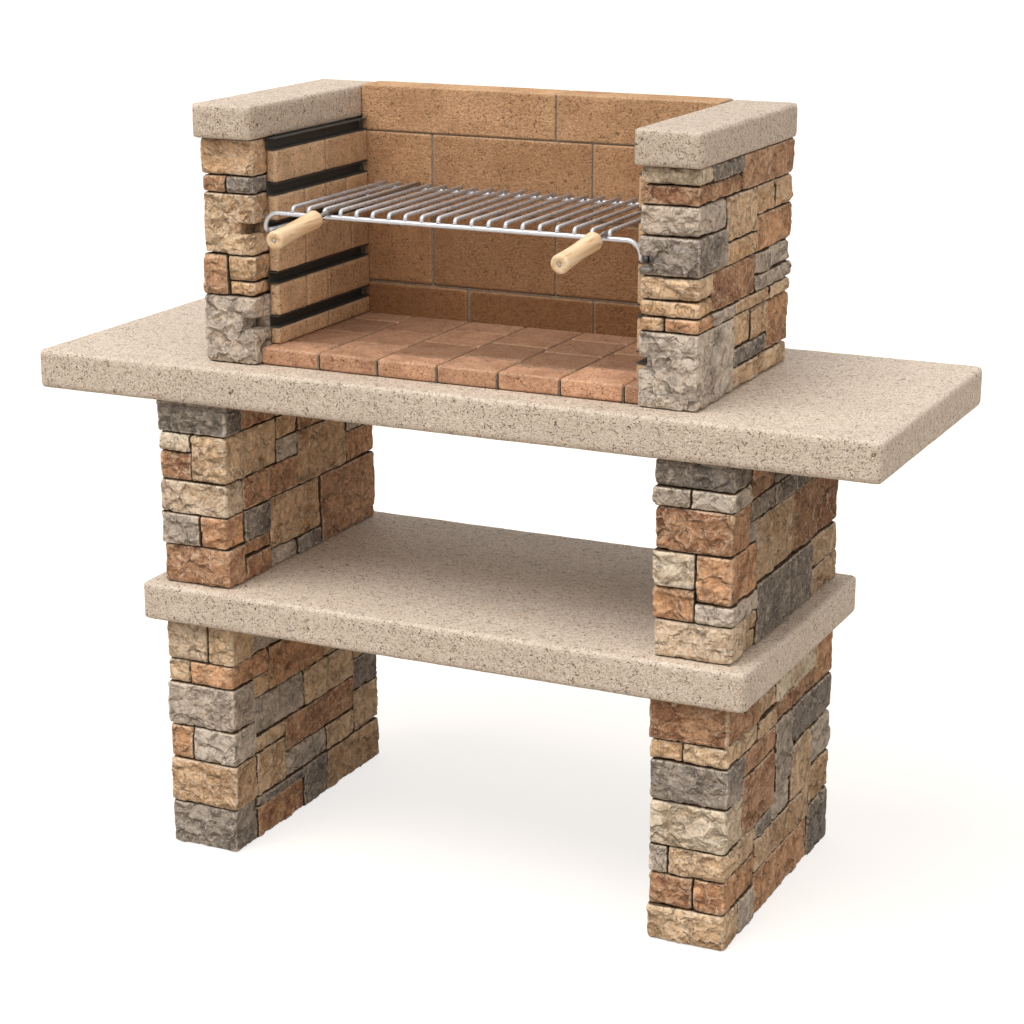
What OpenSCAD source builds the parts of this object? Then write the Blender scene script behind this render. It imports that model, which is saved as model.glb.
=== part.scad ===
// Masonry barbecue: worktop and shelf slabs on stone-faced piers, a firebrick
// hearth between two grooved walls, and a wire grill that slides in the grooves.
// X is the width, Y the depth (front at low Y) and Z is up, in millimetres.

/* [Worktop and shelf] */
// Width of the worktop slab
worktop_w = 1550; // [1400:10:1800]
// Depth of the worktop slab
worktop_d = 590; // [580:5:700]
// Height of the worktop's upper face above the ground
worktop_z = 900; // [850:10:950]
// Width of the shelf slab
shelf_w = 1140; // [1120:10:1300]
// Depth of the shelf slab
shelf_d = 590; // [580:5:640]
// How far the shelf's front edge stands ahead of the worktop's
shelf_lead = 10; // [0:1:20]
// Height of the shelf's upper face above the ground
shelf_z = 500; // [420:10:560]
// Thickness of both slabs
slab_t = 70; // [50:1:90]
// Radius of the slabs' rounded edges
slab_edge_r = 7; // [3:0.5:12]
// Radius of the slabs' rounded corners, seen from above
slab_corner_r = 14; // [8:1:30]

/* [Piers] */
// Distance from the middle of the barbecue to a pier's inner face
pier_inner_x = 397; // [380:1:410]
// Width of a pier
pier_w = 140; // [110:1:150]
// Depth of a pier
pier_d = 540; // [500:1:560]
// How far the pier's front lies behind the worktop's front edge
pier_setback = 12; // [5:1:30]

/* [Upper walls] */
// Distance from the middle of the barbecue to an upper wall's inner face
wall_inner_x = 350; // [330:1:370]
// Width of an upper wall
wall_w = 105; // [90:1:130]
// How far an upper wall's front lies behind the worktop's front edge
wall_front_y = 50; // [40:1:70]
// How far an upper wall's back lies behind the worktop's front edge
wall_back_y = 490; // [470:1:520]
// Thickness of the facing stones along a side
stone_t = 28; // [22:1:35]
// Width of the gap between neighbouring facing stones, behind their broken edges
stone_gap = 1.2; // [0.6:0.1:3]

/* [Caps] */
// Thickness of a cap slab
cap_t = 60; // [40:1:80]
// How far a cap stands out past its wall at each side
cap_side_lip = 7; // [0:0.5:20]
// How far a cap stands out past its wall at the front
cap_front_lip = 15; // [0:1:35]

/* [Firebox] */
// Width of a hearth brick
hearth_brick_w = 110; // [90:1:120]
// Thickness of the hearth bricks
hearth_t = 30; // [25:1:40]
// How far the hearth's front lies behind the wall's front
hearth_setback = 16; // [5:1:30]
// Width of the open joints between hearth bricks
hearth_joint = 2.2; // [1:0.1:4]
// Thickness of the firebrick slips that line the walls
liner_t = 20; // [16:0.5:24]
// How far the liner's front lies behind the wall's front
liner_setback = 45; // [30:1:55]
// Thickness of the back wall plates
back_wall_t = 70; // [50:1:75]
// Width of the mortar joints in the back wall
back_joint = 3; // [2:0.5:6]

/* [Grooves] */
// Height of the liner's lowest course, under the lowest groove
base_course_h = 30; // [20:1:40]
// Height of a groove for the grill
groove_h = 20; // [16:0.5:26]
// Height of a liner course between two grooves
liner_course_h = 56; // [45:1:60]
// How much higher the grill's groove lies than even courses would put it
grill_groove_lift = 12; // [0:1:16]
// Number of grooves at each side
groove_count = 5; // [3:1:5]
// Number of the groove that holds the grill, counted from the lowest
grill_groove = 3; // [1:1:3]
// Sheet thickness of the steel channel in a groove
channel_t = 1.5; // [1:0.1:2]
// Depth of the notches in the front stones at two of the grooves
notch_d = 26; // [15:1:32]

/* [Grill] */
// Diameter of the frame wire
frame_wire = 8; // [6:0.5:10]
// Diameter of the grill bars
bar_wire = 7; // [4:0.5:8]
// Number of grill bars
bar_count = 20; // [12:1:20]
// Distance from bar to bar
bar_pitch = 30.5; // [24:0.5:30.5]
// Running clearance between the grill and its grooves
runner_clearance = 0.3; // [0.2:0.05:1]
// Gap between the end of a runner and the back of its channel
runner_gap = 0.5; // [0.3:0.1:2]
// Height of the front rail above the runners
rail_rise = 31; // [28:1:46]
// Height of the bars above the front rail
bar_rise = 12; // [10:0.5:16]
// How far the front rail lies behind the wall's front
rail_setback = 30; // [26:1:34]
// How far the rear rail lies ahead of the back wall's face
rail_back_gap = 20; // [18:1:60]

/* [Handles] */
// Diameter of the handle rods
handle_rod = 8; // [6:0.5:10]
// Angle at which the handles slope down to the front, in degrees
handle_slope = 7; // [0:0.5:10]
// Length of a grip
grip_l = 135; // [100:1:150]
// Diameter of a grip at its ends
grip_dia = 31; // [22:0.5:34]
// Distance from the front rail to the front end of a grip
handle_reach = 178; // [165:1:190]
// Bar that the left handle rod lies beside, counted from the left
left_handle_bar = 3; // [2:1:9]
// Bar that the right handle rod lies beside, counted from the left
right_handle_bar = 20; // [12:1:20]

/* [Hidden] */
$fn = 48;
LIMESTONE = "limestone";
SANDSTONE = "sandstone";
IRONSTONE = "ironstone";
GREYSTONE = "greystone";
SLATE = "slate";

// Heights and places that follow from the driving sizes
worktop_under = worktop_z - slab_t;
shelf_under = shelf_z - slab_t;
lower_h = shelf_under;
middle_h = worktop_under - shelf_z;
hearth_z = worktop_z + hearth_t;
groove_pitch = groove_h + liner_course_h;
first_groove_z = hearth_z + base_course_h;
wall_h = first_groove_z + (groove_count - 1) * groove_pitch + groove_h - worktop_z;
cap_z = worktop_z + wall_h;
wall_d = wall_back_y - wall_front_y;
cap_inner_x = wall_inner_x - cap_side_lip;
liner_x = wall_inner_x - liner_t;
liner_y = wall_front_y + liner_setback;
back_wall_y = wall_back_y - back_wall_t;
hearth_front_y = wall_front_y + hearth_setback;
joint_recess = 2.5;

// Grill heights and places
function groove_z(g) = first_groove_z + (g - 1) * groove_pitch + (g == grill_groove ? grill_groove_lift : 0);
grill_groove_z = groove_z(grill_groove);
frame_r = frame_wire / 2;
bar_r = bar_wire / 2;
runner_z = grill_groove_z + channel_t + runner_clearance + frame_r;
runner_x = wall_inner_x - channel_t - runner_gap - frame_r;
rail_z = runner_z + rail_rise;
bar_z = rail_z + bar_rise;
rear_rail_z = bar_z - bar_r - frame_r;
rail_y = wall_front_y + rail_setback;
rear_rail_y = back_wall_y - rail_back_gap;
foot_r = frame_r + 2;
leg_bend_r = frame_r + 4;
leg_gap = 4;
bar_overhang = 8;
bar_bend_r = bar_rise - frame_r - 2;
rod_r = handle_rod / 2;
rod_offset = bar_r + rod_r;
rod_bend_lead = 6;
rod_bend_y = rail_y - rod_bend_lead;

// Handle geometry along the sloping axis, from the rail forwards
grip_axis_l = (handle_reach - rod_bend_lead) / cos(handle_slope);
grip_bore_clearance = 0.2;
grip_bore_l = 0.8 * grip_l;
pin_r = 2.4;
pin_head_r = 3.2;
pin_l = 16;
pin_head_t = 1.2;

// The frame's origin lies under the middle of the whole object
grip_round = 4;
pin_reach = pin_head_t * cos(handle_slope) + pin_r * sin(handle_slope);
rim_reach = grip_round * (1 - cos(handle_slope)) + (grip_dia / 2 - grip_round) * sin(handle_slope);
front_reach = rail_y - handle_reach - max(pin_reach, rim_reach);
back_reach = max(worktop_d, shelf_d - shelf_lead);
origin_y = (front_reach + back_reach) / 2;

// Front courses of each pier from the bottom up: share of the height, depth of the
// corner stones, and stones as [left share, right share, bottom share, top share, kind]
LOWER_LEFT_COURSES = [
    [81, 75, [[0, 1, 0, 1, SLATE]]],
    [85, 75, [[0, 1, 0, 1, SANDSTONE]]],
    [64, 75, [[0, 0.36, 0, 1, IRONSTONE], [0.36, 1, 0, 1, GREYSTONE]]],
    [81, 75, [[0, 1, 0, 1, GREYSTONE]]],
    [44, 130, [[0, 0.34, 0, 1, SANDSTONE], [0.34, 1, 0, 1, IRONSTONE]]],
    [75, 75, [[0, 0.62, 0, 1, LIMESTONE], [0.62, 1, 0, 1, SANDSTONE]]],
];
LOWER_RIGHT_COURSES = [
    [63, 70, [[0, 1, 0, 1, SANDSTONE]]],
    [58, 70, [[0, 0.58, 0, 1, IRONSTONE], [0.58, 1, 0, 1, IRONSTONE]]],
    [51, 70, [[0, 0.26, 0, 1, GREYSTONE], [0.26, 1, 0, 1, SANDSTONE]]],
    [78, 85, [[0, 1, 0, 1, LIMESTONE]]],
    [71, 85, [[0, 1, 0, 1, SLATE]]],
    [36, 150, [[0, 0.41, 0, 1, SANDSTONE], [0.41, 1, 0, 1, SANDSTONE]]],
    [73, 85, [[0, 1, 0, 1, IRONSTONE]]],
];
MIDDLE_LEFT_COURSES = [
    [71, 60, [[0, 1, 0, 1, IRONSTONE]]],
    [58, 60, [[0, 0.58, 0, 1, GREYSTONE], [0.58, 1, 0, 1, IRONSTONE]]],
    [60, 60, [[0, 1, 0, 1, LIMESTONE]]],
    [85, 175, [[0, 0.48, 0.6, 1, LIMESTONE], [0, 0.48, 0, 0.6, IRONSTONE], [0.48, 1, 0, 1, SANDSTONE]]],
    [56, 60, [[0, 1, 0, 1, SLATE]]],
];
MIDDLE_RIGHT_COURSES = [
    [64, 70, [[0, 1, 0, 1, LIMESTONE]]],
    [115, 120, [
        [0, 0.53, 0.48, 1, LIMESTONE], [0, 0.53, 0, 0.48, IRONSTONE],
        [0.53, 1, 0.3, 1, IRONSTONE], [0.53, 1, 0, 0.3, GREYSTONE],
    ]],
    [74, 85, [[0, 1, 0, 1, IRONSTONE]]],
    [32, 85, [[0, 0.46, 0, 1, GREYSTONE], [0.46, 1, 0, 1, GREYSTONE]]],
    [45, 85, [[0, 1, 0, 1, SLATE]]],
];
UPPER_LEFT_COURSES = [
    [118, 75, [[0, 1, 0, 1, GREYSTONE]]],
    [70, 75, [[0, 0.48, 0, 1, IRONSTONE], [0.48, 1, 0.36, 1, SANDSTONE], [0.48, 1, 0, 0.36, SANDSTONE]]],
    [105, 75, [[0, 1, 0, 1, SANDSTONE]]],
    [30, 75, [[0, 0.48, 0, 1, IRONSTONE], [0.48, 1, 0, 1, SLATE]]],
    [61, 75, [[0, 1, 0, 1, SANDSTONE]]],
];
UPPER_RIGHT_COURSES = [
    [124, 170, [[0, 1, 0, 1, GREYSTONE]]],
    [24, 70, [[0, 0.43, 0, 1, SANDSTONE], [0.43, 1, 0, 1, IRONSTONE]]],
    [27, 70, [[0, 1, 0, 1, SANDSTONE]]],
    [38, 70, [[0, 1, 0, 1, SANDSTONE]]],
    [63, 125, [[0, 1, 0, 1, SLATE]]],
    [49, 125, [[0, 1, 0, 1, GREYSTONE]]],
    [31, 60, [[0, 1, 0, 1, IRONSTONE]]],
    [28, 60, [[0, 1, 0, 1, LIMESTONE]]],
];

// Side stones behind the corner stones as [from, to, lower course line, upper course
// line, kind]. The first two are distances from the pier's front, and a stone that
// reaches PIER_BACK is a corner stone at the back, as wide as the pier.
PIER_BACK = 999;
LOWER_LEFT_SIDE = [
    [75, 240, 0, 0.75, IRONSTONE], [75, 240, 0.75, 1, SLATE], [240, 330, 0, 1, SLATE],
    [330, PIER_BACK, 0, 1, SANDSTONE],
    [75, 180, 1, 2, SANDSTONE], [180, 330, 1, 1.6, GREYSTONE], [330, 440, 1, 1.6, SANDSTONE],
    [180, 440, 1.6, 2.5, IRONSTONE], [440, PIER_BACK, 1, 2, SANDSTONE],
    [75, 180, 2, 2.5, SANDSTONE], [75, 255, 2.5, 3.5, GREYSTONE], [255, 440, 2.5, 3.5, SANDSTONE],
    [440, PIER_BACK, 2, 3, SLATE],
    [75, 130, 3.5, 4, SANDSTONE], [130, 330, 3.5, 5, IRONSTONE], [330, 440, 3.5, 5, SANDSTONE],
    [440, PIER_BACK, 3, 5, SANDSTONE],
    [75, 200, 5, 6, GREYSTONE], [200, 370, 5, 6, SLATE], [370, PIER_BACK, 5, 6, IRONSTONE],
];
LOWER_RIGHT_SIDE = [
    [70, 150, 0, 1, GREYSTONE], [70, 150, 1, 2, IRONSTONE], [70, 150, 2, 3, SANDSTONE],
    [150, 430, 0, 1.3, IRONSTONE], [150, 240, 1.3, 2.4, SANDSTONE], [150, 240, 2.4, 3, SLATE],
    [240, 430, 1.3, 2.4, SANDSTONE], [430, PIER_BACK, 0, 1.6, SLATE],
    [430, PIER_BACK, 1.6, 3, SANDSTONE], [430, PIER_BACK, 3, 4, GREYSTONE],
    [85, 240, 3, 4.4, IRONSTONE], [85, 240, 4.4, 5, IRONSTONE],
    [240, 330, 2.4, 3.3, GREYSTONE], [240, 330, 3.3, 5, GREYSTONE], [330, 430, 2.4, 4, SANDSTONE],
    [330, PIER_BACK, 4, 5, SLATE],
    [150, 240, 5, 6, SANDSTONE], [240, 450, 5, 6, IRONSTONE],
    [85, 150, 6, 7, IRONSTONE], [150, 240, 6, 6.5, SANDSTONE], [150, 240, 6.5, 7, GREYSTONE],
    [240, 450, 6, 7, LIMESTONE], [450, PIER_BACK, 5, 7, IRONSTONE],
];
MIDDLE_LEFT_SIDE = [
    [60, 150, 0, 0.6, IRONSTONE], [60, 150, 0.6, 1, IRONSTONE], [60, 150, 1, 2, SLATE],
    [150, 240, 0, 0.45, GREYSTONE], [240, 330, 0, 0.45, SLATE], [150, 330, 0.45, 2, SANDSTONE],
    [330, PIER_BACK, 0, 2, IRONSTONE],
    [60, 250, 2, 3, IRONSTONE], [250, 430, 2, 3.5, SANDSTONE], [430, PIER_BACK, 2, 3, IRONSTONE],
    [175, 250, 3, 3.5, GREYSTONE], [175, 250, 3.5, 4, SANDSTONE], [250, 430, 3.5, 4, IRONSTONE],
    [430, PIER_BACK, 3, 4, GREYSTONE],
    [60, 175, 4, 5, IRONSTONE], [175, 330, 4, 5, SANDSTONE], [330, PIER_BACK, 4, 5, IRONSTONE],
];
MIDDLE_RIGHT_SIDE = [
    [70, 120, 0, 0.5, SANDSTONE], [70, 120, 0.5, 1, SANDSTONE], [120, 400, 0, 1.36, SLATE],
    [85, 120, 2, 2.5, GREYSTONE], [120, 300, 1.36, 2.5, SANDSTONE],
    [85, 200, 2.5, 3, GREYSTONE], [85, 200, 3, 4, IRONSTONE], [85, 200, 4, 5, IRONSTONE],
    [200, 300, 2.5, 3, SLATE], [200, 400, 3, 4, SLATE], [200, 400, 4, 5, IRONSTONE],
    [300, PIER_BACK, 1.36, 2.5, IRONSTONE], [300, 400, 2.5, 3, SLATE],
    [400, PIER_BACK, 0, 0.8, SANDSTONE], [400, PIER_BACK, 0.8, 1.36, SANDSTONE],
    [400, PIER_BACK, 2.5, 4, LIMESTONE], [400, PIER_BACK, 4, 5, GREYSTONE],
];
UPPER_LEFT_SIDE = [
    [75, 200, 0, 0.5, SANDSTONE], [75, 200, 0.5, 1, IRONSTONE], [200, 330, 0, 1, SLATE],
    [330, PIER_BACK, 0, 1, SANDSTONE],
    [75, 260, 1, 2, GREYSTONE], [260, PIER_BACK, 1, 1.6, IRONSTONE], [260, PIER_BACK, 1.6, 2, SANDSTONE],
    [75, 160, 2, 2.6, IRONSTONE], [75, 160, 2.6, 3, SANDSTONE], [160, 300, 2, 3, LIMESTONE],
    [300, PIER_BACK, 2, 3, IRONSTONE],
    [75, 250, 3, 4, GREYSTONE], [250, PIER_BACK, 3, 4, SANDSTONE],
    [75, 200, 4, 5, IRONSTONE], [200, 330, 4, 5, SANDSTONE], [330, PIER_BACK, 4, 5, SLATE],
];
UPPER_RIGHT_SIDE = [
    [170, 300, 0, 0.3, SANDSTONE], [300, PIER_BACK, 0, 0.3, SANDSTONE], [170, 335, 0.3, 0.55, SLATE],
    [170, 250, 0.55, 1, SANDSTONE], [250, 335, 0.55, 1, SANDSTONE], [335, PIER_BACK, 0.3, 1, IRONSTONE],
    [70, 170, 1, 2, GREYSTONE], [170, 335, 1, 2, SANDSTONE], [335, PIER_BACK, 1, 2, SANDSTONE],
    [70, 265, 2, 4, IRONSTONE], [265, PIER_BACK, 2, 3, GREYSTONE], [265, 335, 3, 4, GREYSTONE],
    [335, PIER_BACK, 3, 4, GREYSTONE],
    [125, 265, 4, 4.6, SANDSTONE], [125, 265, 4.6, 6, SANDSTONE], [265, PIER_BACK, 4, 5, IRONSTONE],
    [265, 350, 5, 6, SANDSTONE], [350, PIER_BACK, 5, 6, SANDSTONE],
    [60, 195, 6, 7, IRONSTONE], [60, 195, 7, 8, SLATE], [195, PIER_BACK, 6, 8, IRONSTONE],
];

// A pier: left face, front face, foot, width, depth, height, courses, side stones,
// and whether its left and right sides are faced with stone
LOWER_LEFT = [-pier_inner_x - pier_w, pier_setback, 0, pier_w, pier_d, lower_h,
    LOWER_LEFT_COURSES, LOWER_LEFT_SIDE, true, true];
LOWER_RIGHT = [pier_inner_x, pier_setback, 0, pier_w, pier_d, lower_h,
    LOWER_RIGHT_COURSES, LOWER_RIGHT_SIDE, true, true];
MIDDLE_LEFT = [-pier_inner_x - pier_w, pier_setback, shelf_z, pier_w, pier_d, middle_h,
    MIDDLE_LEFT_COURSES, MIDDLE_LEFT_SIDE, true, true];
MIDDLE_RIGHT = [pier_inner_x, pier_setback, shelf_z, pier_w, pier_d, middle_h,
    MIDDLE_RIGHT_COURSES, MIDDLE_RIGHT_SIDE, true, true];
UPPER_LEFT = [-wall_inner_x - wall_w, wall_front_y, worktop_z, wall_w, wall_d, wall_h,
    UPPER_LEFT_COURSES, UPPER_LEFT_SIDE, true, false];
UPPER_RIGHT = [wall_inner_x, wall_front_y, worktop_z, wall_w, wall_d, wall_h,
    UPPER_RIGHT_COURSES, UPPER_RIGHT_SIDE, false, true];

function sum(list, count, i = 0) = i >= count ? 0 : list[i][0] + sum(list, count, i + 1);

// Height of a course line above the pier's foot; a fraction lies inside its course
function line_z(pier, line) =
    let(courses = pier[6], whole = floor(line), total = sum(courses, len(courses)))
    let(part = whole < len(courses) ? (line - whole) * courses[whole][0] : 0)
    (sum(courses, whole) + part) * pier[5] / total;

// Cells as [x0, x1, y0, y1, z0, z1, kind, left, right, front, back], where the last
// four say which faces are seen. A cell keeps half a gap to each neighbouring stone
// and none to the core, the ground or a slab.
half_gap = stone_gap / 2;
function low_edge(pier, z) = z <= 0 ? 0 : z + half_gap;
function high_edge(pier, z) = z >= pier[5] - 0.01 ? pier[5] : z - half_gap;
function front_cells(pier) = [
    for (i = [0:len(pier[6]) - 1], s = pier[6][i][2])
        let(low = line_z(pier, i), high = line_z(pier, i + 1))
        [s[0] * pier[3] + (s[0] == 0 ? 0 : half_gap), s[1] * pier[3] - (s[1] == 1 ? 0 : half_gap),
            0, pier[6][i][1],
            low_edge(pier, low + s[2] * (high - low)), high_edge(pier, low + s[3] * (high - low)),
            s[4], s[0] == 0, s[1] == 1, true, false]
];
function side_cells(pier) = [
    for (s = pier[7], right = [false, true])
        let(across = s[1] == PIER_BACK, faced = right ? pier[9] : pier[8])
        if ((across && !right) || (!across && faced))
            [across || !right ? 0 : pier[3] - stone_t, across || right ? pier[3] : stone_t,
                s[0] + (across ? 0 : half_gap), across ? pier[4] : s[1] - half_gap,
                low_edge(pier, line_z(pier, s[2])), high_edge(pier, line_z(pier, s[3])), s[4],
                across || !right, across || right, false, across]
];
function cells(pier) = concat(front_cells(pier), side_cells(pier));

// Corner of an outline, broken by a chamfer of [along a, along b] when it is seen
function corner(p, da, db, cut, seen, first_a) =
    !seen ? [p]
    : first_a ? [[p[0] + da * cut[0], p[1]], [p[0], p[1] + db * cut[1]]]
    : [[p[0], p[1] + db * cut[1]], [p[0] + da * cut[0], p[1]]];
function broken_outline(a0, a1, b0, b1, cuts, seen) = concat(
    corner([a0, b0], 1, 1, cuts[0], seen[0], false),
    corner([a1, b0], -1, 1, cuts[1], seen[1], true),
    corner([a1, b1], -1, -1, cuts[2], seen[2], false),
    corner([a0, b1], 1, -1, cuts[3], seen[3], true)
);

function stone_colour(kind) =
    kind == LIMESTONE ? "blanchedalmond"
    : kind == SANDSTONE ? "burlywood"
    : kind == IRONSTONE ? "sienna"
    : kind == GREYSTONE ? "darkgray"
    : "dimgray";

// A split stone: its seen faces lie a little back at random and its seen edges are
// broken unevenly, so that neighbours meet in a V-shaped joint
edge_min = 3;
edge_max = 7;
face_back_max = 4;
module stone(cell, seed) {
    back_off = rands(0, face_back_max, 4, seed);
    x0 = cell[0] + (cell[7] ? back_off[0] : 0);
    x1 = cell[1] - (cell[8] ? back_off[1] : 0);
    y0 = cell[2] + (cell[9] ? back_off[2] : 0);
    y1 = cell[3] - (cell[10] ? back_off[3] : 0);
    cuts = rands(edge_min, edge_max, 24, seed + 1);
    pair = [for (i = [0:11]) [cuts[2 * i], cuts[2 * i + 1]]];
    fl = cell[7] || cell[9];
    fr = cell[8] || cell[9];
    br = cell[8] || cell[10];
    bl = cell[7] || cell[10];
    intersection() {
        translate([0, 0, cell[4]])
            linear_extrude(cell[5] - cell[4])
                polygon(broken_outline(x0, x1, y0, y1,
                    [pair[0], pair[1], pair[2], pair[3]], [fl, fr, br, bl]));
        translate([0, y1, 0])
            rotate([90, 0, 0])
                linear_extrude(y1 - y0)
                    polygon(broken_outline(x0, x1, cell[4], cell[5],
                        [pair[4], pair[5], pair[6], pair[7]], [cell[7], cell[8], cell[8], cell[7]]));
        if (cell[9] || cell[10])
            translate([x0, 0, 0])
                rotate([90, 0, 90])
                    linear_extrude(x1 - x0)
                        polygon(broken_outline(y0, y1, cell[4], cell[5],
                            [pair[8], pair[9], pair[10], pair[11]], [cell[9], cell[10], cell[10], cell[9]]));
    }
}

// Notches in the front stones of an upper wall, level with the first and third grooves
NOTCHED_GROOVES = [1, 3];
module notches(side) {
    for (g = NOTCHED_GROOVES)
        translate([side > 0 ? wall_inner_x - 1 : -wall_inner_x - notch_d, wall_front_y - 1, groove_z(g)])
            cube([notch_d + 1, liner_setback + 1, groove_h]);
}
function meets_notch(pier, cell, g) =
    let(z = groove_z(g) - pier[2])
    cell[9] && cell[4] < z + groove_h && cell[5] > z;
function is_notched(pier, cell) =
    pier[8] != pier[9]
        && (meets_notch(pier, cell, NOTCHED_GROOVES[0]) || meets_notch(pier, cell, NOTCHED_GROOVES[1]));

// Stones of one kind in one pier
module pier_stones(pier, kind) {
    all = cells(pier);
    color(stone_colour(kind))
        for (i = [0:len(all) - 1])
            if (all[i][6] == kind)
                difference() {
                    translate([pier[0], pier[1], pier[2]])
                        stone(all[i], 10 * i + len(pier[7]) * 100 + pier[3]);
                    if (is_notched(pier, all[i])) notches(pier[9] ? 1 : -1);
                }
}

// Concrete cast behind the facing stones, stepped round the corner stones
bed_lap = 0.05;
module pier_core(pier) {
    left = pier[8] ? stone_t : 0;
    right = pier[9] ? stone_t : 0;
    color("gray")
        translate([pier[0], pier[1], pier[2]])
            difference() {
                translate([left, stone_t, 0])
                    cube([pier[3] - left - right, pier[4] - 2 * stone_t, pier[5]]);
                for (c = cells(pier))
                    if (c[9] || c[10])
                        translate([c[0] - half_gap, c[2], c[4] - half_gap - bed_lap])
                            cube([c[1] - c[0] + stone_gap, c[3] - c[2],
                                c[5] - c[4] + stone_gap + 2 * bed_lap]);
            }
}

// Slab with rounded edges and corners
module rounded_rect(a, b, r) {
    translate([r, 0]) square([a - 2 * r, b]);
    translate([0, r]) square([a, b - 2 * r]);
    for (x = [r, a - r], y = [r, b - r])
        translate([x, y]) circle(r);
}
module slab(size, edge_r, corner_r) {
    intersection() {
        linear_extrude(size[2]) rounded_rect(size[0], size[1], corner_r);
        translate([0, size[1], 0])
            rotate([90, 0, 0]) linear_extrude(size[1]) rounded_rect(size[0], size[2], edge_r);
        rotate([90, 0, 90]) linear_extrude(size[0]) rounded_rect(size[1], size[2], edge_r);
    }
}
module worktop_slab() {
    color("tan")
        translate([-worktop_w / 2, 0, worktop_under])
            slab([worktop_w, worktop_d, slab_t], slab_edge_r, slab_corner_r);
}
module shelf_slab() {
    color("tan")
        translate([-shelf_w / 2, -shelf_lead, shelf_under])
            slab([shelf_w, shelf_d, slab_t], slab_edge_r, slab_corner_r);
}
module cap(side) {
    w = wall_w + 2 * cap_side_lip;
    color("tan")
        translate([side > 0 ? cap_inner_x : -cap_inner_x - w, wall_front_y - cap_front_lip, cap_z])
            slab([w, wall_d + cap_front_lip, cap_t], slab_edge_r, slab_corner_r);
}

// Hearth bricks in columns that run back, with their cross joints staggered
brick_l = 2 * hearth_brick_w;
brick_edge = 2;
hearth_pitch = hearth_brick_w + hearth_joint;
hearth_w = 2 * wall_inner_x;
hearth_d = back_wall_y - hearth_front_y;
hearth_columns = ceil(hearth_w / hearth_pitch);
HEARTH_FIRST = [0.62, 1.02, 0.48, 0.85, 0.6, 0.95, 0.55];
function brick_ends(column) =
    let(first = HEARTH_FIRST[column % len(HEARTH_FIRST)] * hearth_brick_w)
    concat([0],
        [for (y = first; y < hearth_d - hearth_brick_w / 3; y = y + hearth_pitch) y],
        [hearth_d + hearth_joint]);
module edged_brick(size) {
    intersection() {
        cube(size);
        translate([0, size[1], 0]) rotate([90, 0, 0]) linear_extrude(size[1])
            polygon([[0, 0], [size[0], 0], [size[0], size[2] - brick_edge], [size[0] - brick_edge, size[2]],
                [brick_edge, size[2]], [0, size[2] - brick_edge]]);
        rotate([90, 0, 90]) linear_extrude(size[0])
            polygon([[0, 0], [size[1], 0], [size[1], size[2] - brick_edge], [size[1] - brick_edge, size[2]],
                [brick_edge, size[2]], [0, size[2] - brick_edge]]);
    }
}
module hearth_bricks() {
    color("peru")
        for (c = [0:hearth_columns - 1]) {
            x = c * hearth_pitch;
            w = min(hearth_brick_w, hearth_w - x);
            ends = brick_ends(c);
            for (i = [0:len(ends) - 2])
                translate([x - wall_inner_x, hearth_front_y + ends[i], worktop_z])
                    edged_brick([w, ends[i + 1] - ends[i] - hearth_joint, hearth_t]);
        }
}
// Sand swept into the joints of the hearth
bed_below = 5;
module hearth_bed() {
    color("dimgray")
        difference() {
            translate([-wall_inner_x, hearth_front_y, worktop_z])
                cube([hearth_w, hearth_d, hearth_t - bed_below]);
            for (c = [0:hearth_columns - 1]) {
                x = c * hearth_pitch;
                w = min(hearth_brick_w, hearth_w - x);
                ends = brick_ends(c);
                for (i = [0:len(ends) - 2])
                    translate([x - wall_inner_x, hearth_front_y + ends[i], worktop_z - 1])
                        cube([w, ends[i + 1] - ends[i] - hearth_joint, hearth_t + 2]);
            }
        }
}

// Firebrick slips along a wall: a base course and one course above each groove but the
// last, each cut into slips by upright joints
LINER_JOINTS = [[0.53], [0.3, 0.53], [0.3, 0.8], [0.3, 0.53, 0.75], [0.53]];
liner_joint = 2;
liner_d = back_wall_y - liner_y;
function course_low(i) = i == 0 ? hearth_z : groove_z(i) + groove_h;
function course_height(i) = groove_z(i + 1) - course_low(i);
module liner(side) {
    color("rosybrown")
        for (i = [0:groove_count - 1]) {
            joints = LINER_JOINTS[i];
            for (k = [0:len(joints)]) {
                from = k == 0 ? 0 : joints[k - 1] * liner_d + liner_joint;
                to = k == len(joints) ? liner_d : joints[k] * liner_d;
                translate([side > 0 ? liner_x : -wall_inner_x, liner_y + from, course_low(i)])
                    cube([liner_t, to - from, course_height(i)]);
            }
        }
}

// Steel channels that line the grooves, open towards the firebox
module channels(side) {
    lip = 1.5;
    color("darkslategray")
        for (g = [0:groove_count - 1])
            translate([0, liner_y, groove_z(g + 1)])
                mirror([side > 0 ? 0 : 1, 0, 0])
                    difference() {
                        translate([liner_x + lip, 0, 0]) cube([liner_t - lip, liner_d, groove_h]);
                        translate([liner_x, -1, channel_t])
                            cube([liner_t - channel_t, liner_d + 2, groove_h - 2 * channel_t]);
                    }
}

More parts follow.
